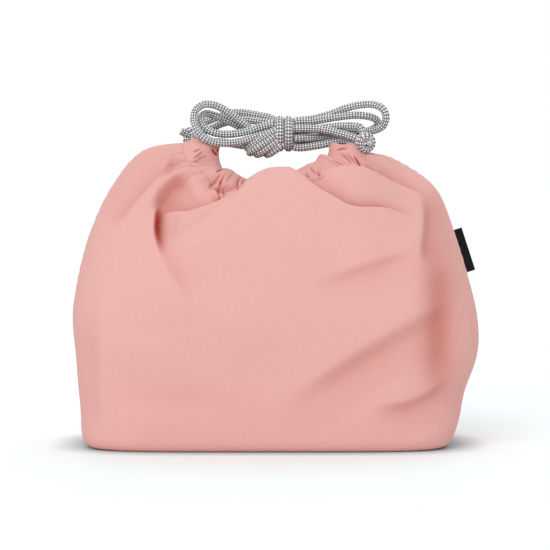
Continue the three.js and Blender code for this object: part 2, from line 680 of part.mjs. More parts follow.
export default pouch;
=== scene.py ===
import bpy
import numpy as np
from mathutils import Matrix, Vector


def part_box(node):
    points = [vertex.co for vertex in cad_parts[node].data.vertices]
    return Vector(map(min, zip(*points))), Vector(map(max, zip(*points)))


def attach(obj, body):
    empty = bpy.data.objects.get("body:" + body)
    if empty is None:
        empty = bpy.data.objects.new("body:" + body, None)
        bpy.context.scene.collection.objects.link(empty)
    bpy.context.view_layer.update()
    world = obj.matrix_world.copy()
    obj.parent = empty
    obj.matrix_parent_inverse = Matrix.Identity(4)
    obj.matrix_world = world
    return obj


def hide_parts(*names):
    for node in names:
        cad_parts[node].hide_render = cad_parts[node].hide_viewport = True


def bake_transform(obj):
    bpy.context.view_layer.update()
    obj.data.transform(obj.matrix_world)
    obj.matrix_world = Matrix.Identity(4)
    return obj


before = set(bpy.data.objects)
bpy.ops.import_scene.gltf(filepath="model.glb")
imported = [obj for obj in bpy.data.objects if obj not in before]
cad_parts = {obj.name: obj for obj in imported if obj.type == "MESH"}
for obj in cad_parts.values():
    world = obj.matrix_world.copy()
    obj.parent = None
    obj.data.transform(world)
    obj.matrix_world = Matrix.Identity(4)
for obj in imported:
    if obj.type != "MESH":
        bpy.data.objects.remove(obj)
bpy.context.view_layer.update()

# Blender's own unit is the metre
MM = 0.001

# Camera: level with the pouch's middle and a little above it, on a long lens
VIEW_MIDDLE = (1.6, 0.0, 91.0)
VIEW_WIDTH = 297.0
VIEW_ELEVATION = 3.0
LENS = 240.0
SENSOR = 36.0

# Cord: its diameter, how many strands of each family show round it, the length of one diamond of its
# braid, how far the strands stand out, and the points round its mesh and the step along it
CORD_DIAMETER = 4.2
STRANDS = 9
STRAND_LENGTH = 1.5
STRAND_RELIEF = 0.36
CORD_AROUND = 54
CORD_STEP = 0.26
# A domed end's length in radii, its least share of the radius squared, and its strand height
DOME_LENGTH = 0.8
DOME_LEAST = 0.02
DOME_STRAND = 0.3

# Free stretches of the cords, as given points
ROUTES = {
    "left_leg_front": [
        (-35.1, -9.9, 157), (-35.7, -9, 158.2), (-36, -7.4, 160.4), (-34, -5.2, 162.2),
        (-28, -3.2, 162.8), (-20, -2.6, 161.6), (-15.8, -2.6, 161),
    ],
    "left_leg_back": [
        (-35.3, 9.7, 154.5), (-35.7, 9, 155.7), (-36, 7.6, 158.6), (-34.4, 5.6, 161.4),
        (-28, 3.2, 162.6), (-20, 2.6, 161.6), (-15.8, 2.6, 161),
    ],
    "left_loop_outer": [
        (0.9, -6, 167.6), (-6, -6.6, 166.6), (-12, -7.6, 164.6), (-18, -9, 162.9), (-25, -10.8, 162.3),
        (-31, -12.2, 163), (-36.5, -12.5, 165.6), (-40.5, -11, 170), (-42, -8.5, 175.4), (-40.6, -6, 180.4),
        (-36.5, -4, 183), (-31, -3, 182.6), (-24, -2, 179.2), (-17, -1.2, 174), (-9, -0.6, 168.4),
        (-4, -0.6, 167.2), (0.9, -0.6, 167.2),
    ],
    "left_loop_inner": [
        (0.9, -3.4, 172), (-6, -4.8, 171), (-12, -5.8, 169), (-19.4, -7, 167.4), (-27, -8, 167.2),
        (-33, -8, 168.6), (-37, -6, 171.6), (-38.2, -2.6, 175.4), (-36, 1.2, 178), (-31, 2.8, 177),
        (-24, 3.4, 174.2), (-17, 3.8, 170.8), (-9, 4.1, 168.6), (0.9, 4.1, 167.8),
    ],
    "left_tail_lower": [
        (0.9, 1.3, 172.4), (-8, 4.2, 174), (-18, 8, 174.8), (-27, 11.4, 172.6), (-33.5, 14.2, 169.6),
        (-37.6, 15.6, 168),
    ],
    "left_tail_upper": [
        (0.9, 5.7, 174.8), (-9, 8.4, 177.4), (-19, 12, 178.6), (-28, 15.4, 176.6), (-35.6, 18.4, 173.6),
        (-40, 18.8, 171.6),
    ],
    "right_leg_front": [
        (42.5, -11.8, 154.7), (43.2, -11, 155.6), (43.8, -9.4, 157.8), (43.5, -7.3, 160.3),
        (40.8, -4.9, 163), (34, -3.5, 162.8), (24, -3.2, 160.9), (12, -3, 160.2),
    ],
    "right_leg_back": [
        (42.6, 12, 154.2), (43.2, 11.1, 155.4), (44.1, 9.3, 158.2), (43.3, 6.9, 161.3), (39.4, 4.3, 163.5),
        (32, 2, 164.5), (25, -0.1, 165.1), (18, -3, 165.2), (12.1, -4.6, 165),
    ],
    "right_loop_outer": [
        (11.9, 3.8, 173.6), (22, 5.2, 175.2), (31, 5.6, 177.6), (40, 4, 181), (48, 2, 182.8),
        (54.9, -0.5, 182.9), (59.6, -2.5, 180.6), (61.3, -3, 176.4), (59.8, -1.5, 171.6), (55, 1, 169),
        (46, 3.5, 168.5), (34, 4.4, 169), (22, 4.8, 169.3), (12, 4.8, 168.8),
    ],
    "right_loop_inner": [
        (11.9, -1, 173.2), (22, 0.6, 174), (33.7, 1.4, 176), (45, 1.6, 177.2), (52.6, 2.8, 176.4),
        (56.6, 6.2, 174.4), (57, 9.5, 171.4), (53, 11, 168.9), (46, 10.6, 167.8), (36, 9.6, 167.3),
        (27, 7.6, 165.6), (19, 4.4, 163.2), (15, 2.4, 163.2), (12.1, 1.7, 163.4),
    ],
    "right_tail_lower": [
        (11.9, -5, 170), (20, -5.6, 170.2), (28, -6.2, 169.6), (37, -7.4, 167.4), (44.4, -8.9, 165.2),
    ],
    "right_tail_upper": [
        (11.9, -0.3, 168.4), (22, -0.9, 169.6), (33.7, -2.6, 171.2), (41, -4.6, 171.6), (47.4, -7.2, 170.6),
    ],
}
# Where the legs start unseen in the hem's tunnel, and where the left ones run on into the bow's knot
HEM_ENDS = {
    "left_leg_front": (-35.2, -10.5, 153.6),
    "left_leg_back": (-34.0, 11.5, 151.1),
    "right_leg_front": (40.7, -14.1, 152.2),
    "right_leg_back": (40.9, 14.1, 151.3),
}
KNOT_ENDS = {
    "left_leg_front": [(-9, -2.08, 161.6), (-2, -1.3, 163.4)],
    "left_leg_back": [(-9, 2.08, 161.6), (-2, 1.3, 163.4)],
}

# The bow's knot: its middle, the radius of its two turns, the step from one to the next, their cord's
# radius, how long and how far in their ends are drawn, and the way of the cords of the half knot
BOW_MIDDLE = np.array([6.5, -1.0, 167.3])
TURN_RADIUS = 7.0
TURN_SPACING = 4.7
TURN_CORD_RADIUS = 2.5
TURN_END = 0.12
TURN_END_DRAWN = 4.5
HALF_KNOT = [
    [
        (5, -5, 169.5), (1.5, -7.4, 169), (-3, -8.2, 166.6), (-8.6, -7.6, 163), (-12.2, -5.4, 160.4),
        (-13, -2, 159.4), (-10, 1, 160.5), (-3, 2, 162.5), (4, 0, 164.5),
    ],
    [
        (5, -5, 166.4), (1.8, -8, 166), (-1.5, -9, 163.9), (-7.2, -8.8, 160.3), (-10.8, -6.6, 158),
        (-11.8, -3.2, 157.1), (-9, -0.2, 158), (-2, 1, 161), (4, -1, 163),
    ],
    [
        (5, -5, 163.6), (2.2, -7.8, 163), (-0.5, -8.8, 161), (-4, -8.4, 158.4), (-7.2, -6.4, 156.8),
        (-8, -3.4, 156.2), (-5.4, -0.8, 157), (0, 0, 160), (5, -1, 162),
    ],
    [
        (7, -5, 162), (4.4, -7.4, 160.8), (2, -7.8, 158.8), (-1, -6.8, 156.8), (-2.6, -4.4, 156.2),
        (-1.4, -1.6, 157), (3, -1, 159.6), (7, -1, 162),
    ],
]
# A stretch's hidden end in the bow's knot: how much it keeps of its distance from the turns' axis, and
# the furthest that it stops to the left or right of their middle
HIDDEN_SHARE = 0.38
HIDDEN_REACH = 2.2

# An end knot: the radius of its ring, of the bar that the cord winds round, and how each one lies
KNOT_RING = 2.7
KNOT_BAR = 1.75
END_KNOTS = {
    "left_end_knot": {"centre": (-43.3, 17.0, 165.2), "axis": (-0.5, -0.8, 0.3), "spin": 0.4},
    "right_end_knot": {"centre": (50.4, -9.6, 162.6), "axis": (0.35, -0.92, -0.15), "spin": 1.3},
}
# How the left one's cut tips stand out of its middle, the turns of the right one's coil, and how far of
# the way to a knot's middle a tail runs on inside it
CUT_TIPS = np.array([-6.2, -2.2, 3.2])
COIL_TURNS = 2.35
TAIL_SINK = 0.6

# The bag's skin: left, right, front, back, power of the outline, then the heights every 30 degrees
# from the right side round by the back, the left side and the front
GIRTHS = np.array([
    [95, 90, 50, 50, 5.0] + [0] * 12,
    [101.5, 97, 55, 55, 4.6] + [5] * 12,
    [103.5, 103, 58, 58, 4.0] + [28] * 12,
    [107, 111, 61, 60, 3.6, 56, 56, 57, 58, 58, 59, 60, 59, 58, 58, 57, 56],
    [105.5, 107, 61, 60, 3.3, 85, 85, 86, 86, 86, 86, 86, 84, 83, 88, 87, 86],
    [98, 99, 58, 57, 3.0, 112, 112, 112, 112, 113, 114, 114, 107, 103, 115, 113, 112],
    [87, 88, 53, 52, 2.8, 138, 135, 133, 133, 134, 136, 138, 122, 113, 137, 131, 131],
    [70, 67, 44, 43, 2.5, 153, 149, 143, 141.5, 143, 149.5, 157.5, 139, 127, 149, 149, 146],
    [48, 50.5, 26, 26, 4.6, 157.5, 149.5, 137, 127, 136, 150.5, 162, 152.5, 146, 129, 139, 149],
    [29.5, 34, 14, 14, 2.2, 161, 154.5, 142.5, 136.5, 139.5, 151.5, 162, 156.5, 142.5, 141, 150, 158],
])
OUTLINE = 5
STITCH = len(GIRTHS) - 2
MOUTH = len(GIRTHS) - 1
# The wall's thickness, half the gap between front and back at a side seam, and the gap round the base
WALL = 1.2
SEAM_HALF_GAP = 0.06
BASE_GAP = 0.3
# The rows of a panel's mesh from each girth to the next, and its columns
ROWS_PER_GIRTH = [6, 14, 18, 20, 26, 34, 34, 36]
PANEL_COLUMNS = 416
# The cloth turned in along a side seam: its width, its thickness and its clearance from the wall
ALLOWANCE_WIDTH = 7.0
ALLOWANCE_PLY = 0.6
ALLOWANCE_CLEARANCE = 0.12

# Hem: half its tunnel's height, a ply, how far it laps over the stitching, and half an exit's width
TUNNEL_HALF_HEIGHT = 2.9
HEM_PLY = 0.8
HEM_OVERLAP = 0.5
EXIT_HALF_WIDTH = 7.4

# Tab: its width along the seam, how far it reaches out and into the seam, its ribbon's thickness, the
# space between its plies, how far it bows, its two directions, and how far below its solid it sits
TAB_WIDTH = 24.0
TAB_REACH = 3.5
TAB_IN_SEAM = 1.8
TAB_PLY = 0.45
TAB_INSIDE = 0.4
TAB_BOW = 0.25
TAB_UP = np.array([-0.30876, 0, 0.95114])
TAB_OUT = np.array([0.95114, 0, 0.30876])
TAB_DROP = 1.2


def smoothstep(low, high, value):
    """0 below low, 1 above high, and a smooth cubic between them."""
    t = np.clip((value - low) / (high - low), 0, 1)
    return t * t * (3 - 2 * t)


# Meshes


def build(name, points, quads, triangles=(), uv=None, **values):
    """A mesh object from points in millimetres, quads and triangles. uv has one pair for each corner,
    and each of values is an attribute with one number for each point, which a finish reads."""
    quads = np.asarray(quads, int).reshape(-1, 4)
    triangles = np.asarray(triangles, int).reshape(-1, 3)
    corners = np.concatenate([quads.ravel(), triangles.ravel()])
    starts = np.concatenate([4 * np.arange(len(quads)), 4 * len(quads) + 3 * np.arange(len(triangles))])
    mesh = bpy.data.meshes.new(name)
    mesh.vertices.add(len(points))
    mesh.vertices.foreach_set("co", (np.asarray(points) * MM).astype(np.float32).ravel())
    mesh.loops.add(len(corners))
    mesh.loops.foreach_set("vertex_index", corners.astype(np.int32))
    mesh.polygons.add(len(starts))
    mesh.polygons.foreach_set("loop_start", starts.astype(np.int32))
    mesh.update(calc_edges=True)
    mesh.polygons.foreach_set("use_smooth", np.ones(len(starts), bool))
    if uv is not None:
        layer = mesh.uv_layers.new(name="UVMap")
        layer.uv.foreach_set("vector", np.asarray(uv, np.float32).ravel())
    for key, numbers in values.items():
        attribute = mesh.attributes.new(key, "FLOAT", "POINT")
        attribute.data.foreach_set("value", np.asarray(numbers, np.float32).ravel())
    mesh.validate()
    obj = bpy.data.objects.new(name, mesh)
    bpy.context.scene.collection.objects.link(obj)
    return obj


def finished(obj, material, body=None, replaces=()):
    """Give a piece its finish and its slot, make it ride, and let it stand for CAD nodes."""
    obj.data.materials.append(material)
    if body:
        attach(obj, body)
    if replaces:
        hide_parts(*replaces)
    return obj


def cells(grid):
    """The quads between the neighbours of a grid of point numbers."""
    return np.stack([grid[:-1, :-1], grid[:-1, 1:], grid[1:, 1:], grid[1:, :-1]], -1).reshape(-1, 4)


def wall(name, outer, inner, outer_uv, hollow=None):
    """A closed wall between two grids that bound the same patch, joined along their four edges. The
    inner grid may be coarser: each of its cells then spans as many of the outer ones both ways.
    The last argument says how much shade is painted on each outer point, from 0 to 1, most in folds."""
    rows, columns = outer.shape[:2]
    inner_rows, inner_columns = inner.shape[:2]
    ratio = (rows - 1) // (inner_rows - 1)
    points = np.concatenate([outer.reshape(-1, 3), inner.reshape(-1, 3)])
    near = np.arange(rows * columns).reshape(rows, columns)
    far = rows * columns + np.arange(inner_rows * inner_columns).reshape(inner_rows, inner_columns)
    quads = np.concatenate([cells(near), cells(far)[:, ::-1]])
    triangles = []
    edges = [
        (near[0], far[0], True), (near[-1], far[-1], False),
        (near[:, 0], far[:, 0], False), (near[:, -1], far[:, -1], True),
    ]
    for fine, coarse, turned in edges:
        for k in range(ratio):
            strip = np.stack([coarse[:-1], fine[k:-1:ratio], fine[k + 1::ratio]], -1)
            triangles.append(strip[:, ::-1] if turned else strip)
        strip = np.stack([coarse[:-1], fine[ratio::ratio], coarse[1:]], -1)
        triangles.append(strip[:, ::-1] if turned else strip)
    triangles = np.concatenate(triangles)
    inner_uv = outer_uv[::ratio, ::ratio]
    point_uv = np.concatenate([outer_uv.reshape(-1, 2), inner_uv.reshape(-1, 2)])
    corners = np.concatenate([quads.ravel(), triangles.ravel()])
    depth = np.zeros(len(points))
    if hollow is not None:
        depth[: hollow.size] = hollow.ravel()
    obj = build(name, points, quads, triangles, uv=point_uv[corners], hollow=depth)
    return faced_out(obj)


def faced_out(obj):
    """Turn a closed mesh whose volume comes out negative, so that its faces point outwards."""
    mesh = obj.data
    mesh.calc_loop_triangles()
    co = np.empty(3 * len(mesh.vertices))
    mesh.vertices.foreach_get("co", co)
    co = co.reshape(-1, 3)
    index = np.empty(3 * len(mesh.loop_triangles), int)
    mesh.loop_triangles.foreach_get("vertices", index)
    a, b, c = co[index.reshape(-1, 3)].transpose(1, 0, 2)
    if np.einsum("ij,ij->", a, np.cross(b, c)) < 0:
        mesh.flip_normals()
    return obj


# Curves and tubes


def smooth_path(points, step):
    """A smooth curve through points, as stations at an even step. Each span is a cubic whose slopes
    come from its neighbours' distances (centripetal), so the curve doesn't overshoot close points."""
    p = np.asarray(points, float)
    p = np.concatenate([[2 * p[0] - p[1]], p, [2 * p[-1] - p[-2]]])
    gaps = np.maximum(np.linalg.norm(np.diff(p, axis=0), axis=1) ** 0.5, 1e-4)[:, None]
    a, b, c, d = p[:-3], p[1:-2], p[2:-1], p[3:]
    before, here, after = gaps[:-2], gaps[1:-1], gaps[2:]
    leave = ((b - a) / before - (c - a) / (before + here) + (c - b) / here) * here
    reach = ((c - b) / here - (d - b) / (here + after) + (d - c) / after) * here
    t = np.linspace(0, 1, 40, endpoint=False)[None, :, None]
    b, c, leave, reach = (v[:, None, :] for v in (b, c, leave, reach))
    fine = (2 * t**3 - 3 * t**2 + 1) * b + (t**3 - 2 * t**2 + t) * leave
    fine = fine + (3 * t**2 - 2 * t**3) * c + (t**3 - t**2) * reach
    fine = np.concatenate([fine.reshape(-1, 3), p[-2:-1]])
    return even_stations(fine, step)


def even_stations(line, step):
    """The same line, cut anew at an even step."""
    run = run_along(line)
    count = max(4, int(round(run[-1] / step)))
    at = np.linspace(0, run[-1], count + 1)
    return np.stack([np.interp(at, run, line[:, k]) for k in range(3)], -1)


def run_along(line):
    """How far along the line each of its points lies."""
    return np.concatenate([[0], np.cumsum(np.linalg.norm(np.diff(line, axis=0), axis=1))])


def carried_frames(line):
    """Two directions square to the line at each station, carried along it without twisting: each
    station's first direction is the last one's, with what points along the line taken away."""
    along = np.gradient(line, axis=0)
    along /= np.linalg.norm(along, axis=1)[:, None]
    first = np.empty_like(line)
    start = np.cross(along[0], (0.3, 1.0, 0.2))
    first[0] = start / np.linalg.norm(start)
    for i in range(1, len(line)):
        side = first[i - 1] - along[i] * (first[i - 1] @ along[i])
        first[i] = side / np.linalg.norm(side)
    return first, np.cross(along, first)


def braid_height(around, along):
    """How proud a braid's strands stand, from 0 in the gaps to 1, with a minus sign where the darker
    family is on top. around is in strands and along in strand lengths. Two families of strands cross,
    and in each diamond between them one family lies on top, turn about: its height is a half sine
    across the strand, a little lower at its two ends."""
    p, q = around + along, around - along
    fp, fq = p % 1, q % 1
    forward = (np.floor(p) + np.floor(q)) % 2 < 1
    over_p = np.sin(np.pi * fp) * (0.55 + 0.45 * np.sin(np.pi * fq))
    over_q = np.sin(np.pi * fq) * (0.55 + 0.45 * np.sin(np.pi * fp))
    return np.where(forward, over_p, -over_q)


def braided_tube(line, radius=CORD_DIAMETER / 2, start_round=True, end_round=True):
    """Points, quads, triangles, corner uv and strand heights of a braided cord along stations. The
    surface stands off the line by the radius less the braid's relief, and its ends are domed unless
    they are hidden. radius is a number, or a column with one for each station."""
    n = CORD_AROUND
    first, second = carried_frames(line)
    turn = 2 * np.pi * np.arange(n) / n
    run = run_along(line)
    lay = run / STRAND_LENGTH
    strand = braid_height(STRANDS * np.arange(n)[None, :] / n, lay[:, None])
    reach = radius - STRAND_RELIEF * (1 - np.abs(strand))
    dome = np.ones_like(run)
    for from_end, wanted in ((run, start_round), (run[-1] - run, end_round)):
        if wanted:
            inward = np.minimum(from_end / (DOME_LENGTH * radius), 1)
            dome = np.minimum(dome, np.sqrt(np.clip(1 - (1 - inward) ** 2, DOME_LEAST, 1)))
    reach = reach * dome[:, None]
    ring = np.cos(turn)[None, :, None] * first[:, None] + np.sin(turn)[None, :, None] * second[:, None]
    points = (line[:, None] + reach[..., None] * ring).reshape(-1, 3)
    stations = len(line)
    grid = np.arange(stations * n).reshape(stations, n)
    nxt = np.roll(grid, -1, axis=1)
    quads = np.stack([grid[:-1], nxt[:-1], nxt[1:], grid[1:]], -1).reshape(-1, 4)
    u0 = np.broadcast_to(np.arange(n) / n, (stations - 1, n))
    u1 = u0 + 1 / n
    v0 = np.broadcast_to(lay[:-1, None], (stations - 1, n))
    v1 = np.broadcast_to(lay[1:, None], (stations - 1, n))
    uv = np.stack([np.stack(corner, -1) for corner in ((u0, v0), (u1, v0), (u1, v1), (u0, v1))], -2)
    poles = len(points) + np.arange(2)
    points = np.concatenate([points, line[[0, -1]]])
    caps = np.concatenate([
        np.stack([np.full(n, poles[0]), nxt[0], grid[0]], -1),
        np.stack([np.full(n, poles[1]), grid[-1], nxt[-1]], -1),
    ])
    cap_uv = np.zeros((len(caps) * 3, 2))
    heights = np.concatenate([strand.ravel(), [DOME_STRAND, DOME_STRAND]])
    return points, quads, caps, np.concatenate([uv.reshape(-1, 2), cap_uv]), heights


def joined(name, parts):
    """One mesh object from several tubes."""
    points, quads, triangles, quad_uv, triangle_uv, heights = [], [], [], [], [], []
    offset = 0
    for part_points, part_quads, part_triangles, part_uv, part_heights in parts:
        points.append(part_points)
        quads.append(part_quads + offset)
        triangles.append(part_triangles + offset)
        quad_uv.append(part_uv[: part_quads.size])
        triangle_uv.append(part_uv[part_quads.size:])
        heights.append(part_heights)
        offset += len(part_points)
    return build(
        name, np.concatenate(points), np.concatenate(quads), np.concatenate(triangles),
        uv=np.concatenate(quad_uv + triangle_uv), strand=np.concatenate(heights),
    )


# Materials


def linear(hexadecimal):
    """An sRGB hex colour as the linear RGBA that the shader wants."""
    srgb = np.array([int(hexadecimal[i:i + 2], 16) for i in (1, 3, 5)]) / 255
    rgb = np.where(srgb <= 0.04045, srgb / 12.92, ((srgb + 0.055) / 1.055) ** 2.4)
    return (*rgb, 1.0)


def add(tree, kind, inputs=None, **settings):
    """Add a node with its settings, and set or link its inputs."""
    node = tree.nodes.new(kind)
    for key, value in settings.items():
        setattr(node, key, value)
    for key, value in (inputs or {}).items():
        if isinstance(value, bpy.types.NodeSocket):
            tree.links.new(value, node.inputs[key])
        else:
            node.inputs[key].default_value = value
    return node


def new_material(name):
    """An empty material with its Principled shader linked to the output."""
    material = bpy.data.materials.new(name)
    material.use_nodes = True
    tree = material.node_tree
    tree.nodes.clear()
    shader = add(tree, "ShaderNodeBsdfPrincipled")
    add(tree, "ShaderNodeOutputMaterial", {"Surface": shader.outputs["BSDF"]})
    return material, tree, shader


def ramp(tree, factor, *stops):
    """A colour ramp over stops of (position, sRGB hex)."""
    node = add(tree, "ShaderNodeValToRGB", {"Fac": factor})
    elements = node.color_ramp.elements
    while len(elements) < len(stops):
        elements.new(0.5)
    for element, (position, colour) in zip(elements, stops):
        element.position = position
        element.color = linear(colour)
    return node


# The cloth's threads and the ribbon's ribs, in millimetres as their UV is. At scale 1 a wave texture's
# bands repeat every 2 pi / 20 units.
THREAD_SPACING = 0.45
RIB_SPACING = 0.6
WEAVE_SCALE = 2 * np.pi / 20 / THREAD_SPACING
RIB_SCALE = 2 * np.pi / 20 / RIB_SPACING
# Patterns on Object coordinates, which are in metres: how many to the metre, roughly
MOTTLE_SCALE = 420.0
FUZZ_SCALE = 2400.0
FIBRE_SCALE = 3500.0


def brushed_polyester(name, dark, light, fold_shade_colour):
    """Plain-woven polyester with a brushed face: matt, evenly dyed, with a fine weave that only shows
    close to and a faint mottle from the brushing. Shade is painted into its folds: where the mesh's
    attribute says so, the pink is mixed towards a deeper, redder colour, as light there goes from cloth to
    cloth."""
    material, tree, shader = new_material(name)
    place = add(tree, "ShaderNodeTexCoord")
    spot = place.outputs["Object"]
    mottle = add(tree, "ShaderNodeTexNoise", {"Vector": spot, "Scale": MOTTLE_SCALE, "Detail": 3.0})
    face = ramp(tree, mottle.outputs["Fac"], (0.25, dark), (0.75, light))
    hollow = add(tree, "ShaderNodeAttribute", attribute_name="hollow")
    colours = {0: hollow.outputs["Fac"], 6: face.outputs["Color"], 7: linear(fold_shade_colour)}
    colour = add(tree, "ShaderNodeMix", colours, data_type="RGBA")
    tree.links.new(colour.outputs[2], shader.inputs["Base Color"])
    shader.inputs["Roughness"].default_value = 0.85
    shader.inputs["Specular IOR Level"].default_value = 0.15
    shader.inputs["Sheen Weight"].default_value = 0.04
    shader.inputs["Sheen Roughness"].default_value = 0.45
    shader.inputs["Sheen Tint"].default_value = linear("#f6c9c4")
    threads = {"Vector": place.outputs["UV"], "Scale": WEAVE_SCALE}
    warp = add(tree, "ShaderNodeTexWave", threads, bands_direction="X")
    weft = add(tree, "ShaderNodeTexWave", threads, bands_direction="Y")
    weave = add(tree, "ShaderNodeMath", {0: warp.outputs["Fac"], 1: weft.outputs["Fac"]}, operation="ADD")
    fuzz = add(tree, "ShaderNodeTexNoise", {"Vector": spot, "Scale": FUZZ_SCALE, "Detail": 2.0})
    height = add(tree, "ShaderNodeMath", {0: weave.outputs[0], 1: fuzz.outputs["Fac"]}, operation="ADD")
    bump = add(tree, "ShaderNodeBump", {"Height": height.outputs[0], "Strength": 0.35, "Distance": 0.00006})
    tree.links.new(bump.outputs["Normal"], shader.inputs["Normal"])
    return material


def braided_polyester():
    """Filament polyester, braided from pale and from grey yarns: where a pale yarn is on top it reads
    as a light fleck, and the flecks line up in rows along the cord. Light and shade are painted by each
    strand's height: its top lighter, up to white on the pale yarn as a painted highlight, its edges and
    the gaps between strands dark as painted shade, a touch cool against the pink that the cloth throws."""
    material, tree, shader = new_material("braided_grey_polyester_cord")
    strand = add(tree, "ShaderNodeAttribute", attribute_name="strand")
    height = {"Value": strand.outputs["Fac"], "From Min": -1.0, "From Max": 1.0}
    share = add(tree, "ShaderNodeMapRange", height)
    # Painted shade in the gaps and along the strands' edges, painted highlight on their tops
    colour = ramp(
        tree, share.outputs[0],
        (0.0, "#888c8f"), (0.3, "#6f7478"), (0.45, "#363c40"),
        (0.5, "#1f2529"), (0.6, "#969c9f"), (0.7, "#ffffff"),
    )
    tree.links.new(colour.outputs["Color"], shader.inputs["Base Color"])
    shader.inputs["Roughness"].default_value = 0.5
    shader.inputs["Specular IOR Level"].default_value = 0.4
    place = add(tree, "ShaderNodeTexCoord")
    strewn = {"Vector": place.outputs["Object"], "Scale": FIBRE_SCALE, "Detail": 2.0}
    fibre = add(tree, "ShaderNodeTexNoise", strewn)
    raised = {"Height": fibre.outputs["Fac"], "Strength": 0.3, "Distance": 0.00008}
    bump = add(tree, "ShaderNodeBump", raised)
    tree.links.new(bump.outputs["Normal"], shader.inputs["Normal"])
    return material


def woven_ribbon():
    """Black woven polyester ribbon: close ribs across it and a slight silky shine."""
    material, tree, shader = new_material("black_woven_ribbon")
    place = add(tree, "ShaderNodeTexCoord")
    ribs = {"Vector": place.outputs["UV"], "Scale": RIB_SCALE}
    rib = add(tree, "ShaderNodeTexWave", ribs, bands_direction="Y")
    colour = ramp(tree, rib.outputs["Fac"], (0.2, "#060607"), (0.9, "#121113"))
    tree.links.new(colour.outputs["Color"], shader.inputs["Base Color"])
    shader.inputs["Roughness"].default_value = 0.55
    shader.inputs["Specular IOR Level"].default_value = 0.16
    bump = add(tree, "ShaderNodeBump", {"Height": rib.outputs["Fac"], "Strength": 0.5, "Distance": 0.0001})
    tree.links.new(bump.outputs["Normal"], shader.inputs["Normal"])
    return material


# The last colour of each is the shade painted into folds and creases where the mesh carries it; the hem's
# copy is a touch darker, and its painted shade deeper and redder
cloth = brushed_polyester("brushed_pink_polyester", "#e5afa8", "#e8b3ad", "#b4503f")
hem_cloth = brushed_polyester("brushed_pink_polyester_hem", "#e3aba4", "#e6afa9", "#a83a2a")
thread_finish = brushed_polyester("pink_sewing_thread", "#d99a94", "#e2a6a0", "#bf6156")
cord_finish = braided_polyester()
ribbon_finish = woven_ribbon()


# Camera


def make_camera():
    """Aim the camera at the middle of the view, far enough for the lens to take in its width."""
    data = bpy.data.cameras.new("camera")
    data.lens = LENS
    data.sensor_width = SENSOR
    camera = bpy.data.objects.new("camera", data)
    bpy.context.scene.collection.objects.link(camera)
    tilt = np.radians(VIEW_ELEVATION)
    back = Vector((0, -np.cos(tilt), np.sin(tilt)))
    camera.location = Vector(VIEW_MIDDLE) * MM + back * (VIEW_WIDTH * MM * LENS / SENSOR)
    camera.rotation_euler = (-back).to_track_quat("-Z", "Y").to_euler()
    bpy.context.scene.camera = camera


make_camera()


# Cords


def inside_knot(point):
    """A point a little way inside the bow's knot, level with a stretch's end but drawn in to its axis."""
    end = np.array(point, float)
    end[0] = np.clip(end[0], BOW_MIDDLE[0] - HIDDEN_REACH, BOW_MIDDLE[0] + HIDDEN_REACH)
    end[1:] = BOW_MIDDLE[1:] + HIDDEN_SHARE * (end[1:] - BOW_MIDDLE[1:])
    return tuple(end)


def cord_stations(name):
    """A stretch's stations: its route, with its ends carried on into the knots and the hem."""
    route = list(ROUTES[name])
    if "leg" in name:
        route = [HEM_ENDS[name]] + route + KNOT_ENDS.get(name, [])
        route += [inside_knot(route[-1])]
    elif "loop" in name:
        route = [inside_knot(route[0])] + route + [inside_knot(route[-1])]
    else:
        centre = np.array(END_KNOTS[end_knot_of(name)]["centre"])
        sunk = TAIL_SINK * centre + (1 - TAIL_SINK) * np.array(route[-1])
        route = [inside_knot(route[0])] + route + [tuple(sunk)]
    return smooth_path(route, CORD_STEP)


def end_knot_of(name):
    """The name of the knot at the end of a tail."""
    return name.split("_")[0] + "_end_knot"


def facing_along(axis, centre, right_by, up_by, forward_by):
    """Stations of a knot given by how far each point lies to the right, up and forward, where forward
    is the way that axis points."""
    axis = np.array(axis, float) / np.linalg.norm(axis)
    right = np.cross(axis, (0, 0, 1))
    right /= np.linalg.norm(right)
    up = np.cross(right, axis)
    line = sum(v[:, None] * way for v, way in zip((right_by, up_by, forward_by), (right, up, axis)))
    return even_stations(line + centre, CORD_STEP)


def overhand(centre, axis, spin):
    """Stations of an overhand knot pulled tight: a curve that runs twice round a small ring while it
    winds three times round the ring's own bar. axis is the way that the ring faces."""
    t = np.linspace(0, 2 * np.pi, 500)
    reach = KNOT_RING + KNOT_BAR * np.cos(3 * t)
    around = 2 * t + spin
    forward = KNOT_BAR * np.sin(3 * t)
    return facing_along(axis, centre, reach * np.cos(around), reach * np.sin(around), forward)


def round_knot(centre, axis, spin):
    """Stations of an end knot seen end on: a coil of two turns that comes forward along the axis and
    then curls in to its own middle, where the cut end looks out. It starts at the middle, swings out
    over its first tenth and in over its last fifth, and comes forward faster at the very end."""
    t = np.linspace(0, 1, 500)
    angle = spin + 2 * np.pi * COIL_TURNS * t
    reach = 0.6 + 2.9 * smoothstep(0, 0.1, t) - 3.3 * smoothstep(0.8, 1, t)
    forward = -3.0 + 5.4 * t + 1.6 * smoothstep(0.88, 1, t)
    return facing_along(axis, centre, reach * np.cos(angle), reach * np.sin(angle), forward)


def make_end_knot(name, centre, axis, spin):
    """The knot that joins a cord's two ends: a round one on the right, and on the left an overhand
    knot whose cut tips stand out of its middle."""
    centre = np.array(centre)
    if name.startswith("right"):
        tubes = [braided_tube(round_knot(centre, axis, spin), start_round=False)]
    else:
        tips = smooth_path([centre, centre + 0.5 * CUT_TIPS, centre + CUT_TIPS], CORD_STEP)
        lines = (overhand(centre, axis, spin), tips)
        tubes = [braided_tube(line, start_round=False, end_round=False) for line in lines]
    return joined(name + "_braid", tubes)


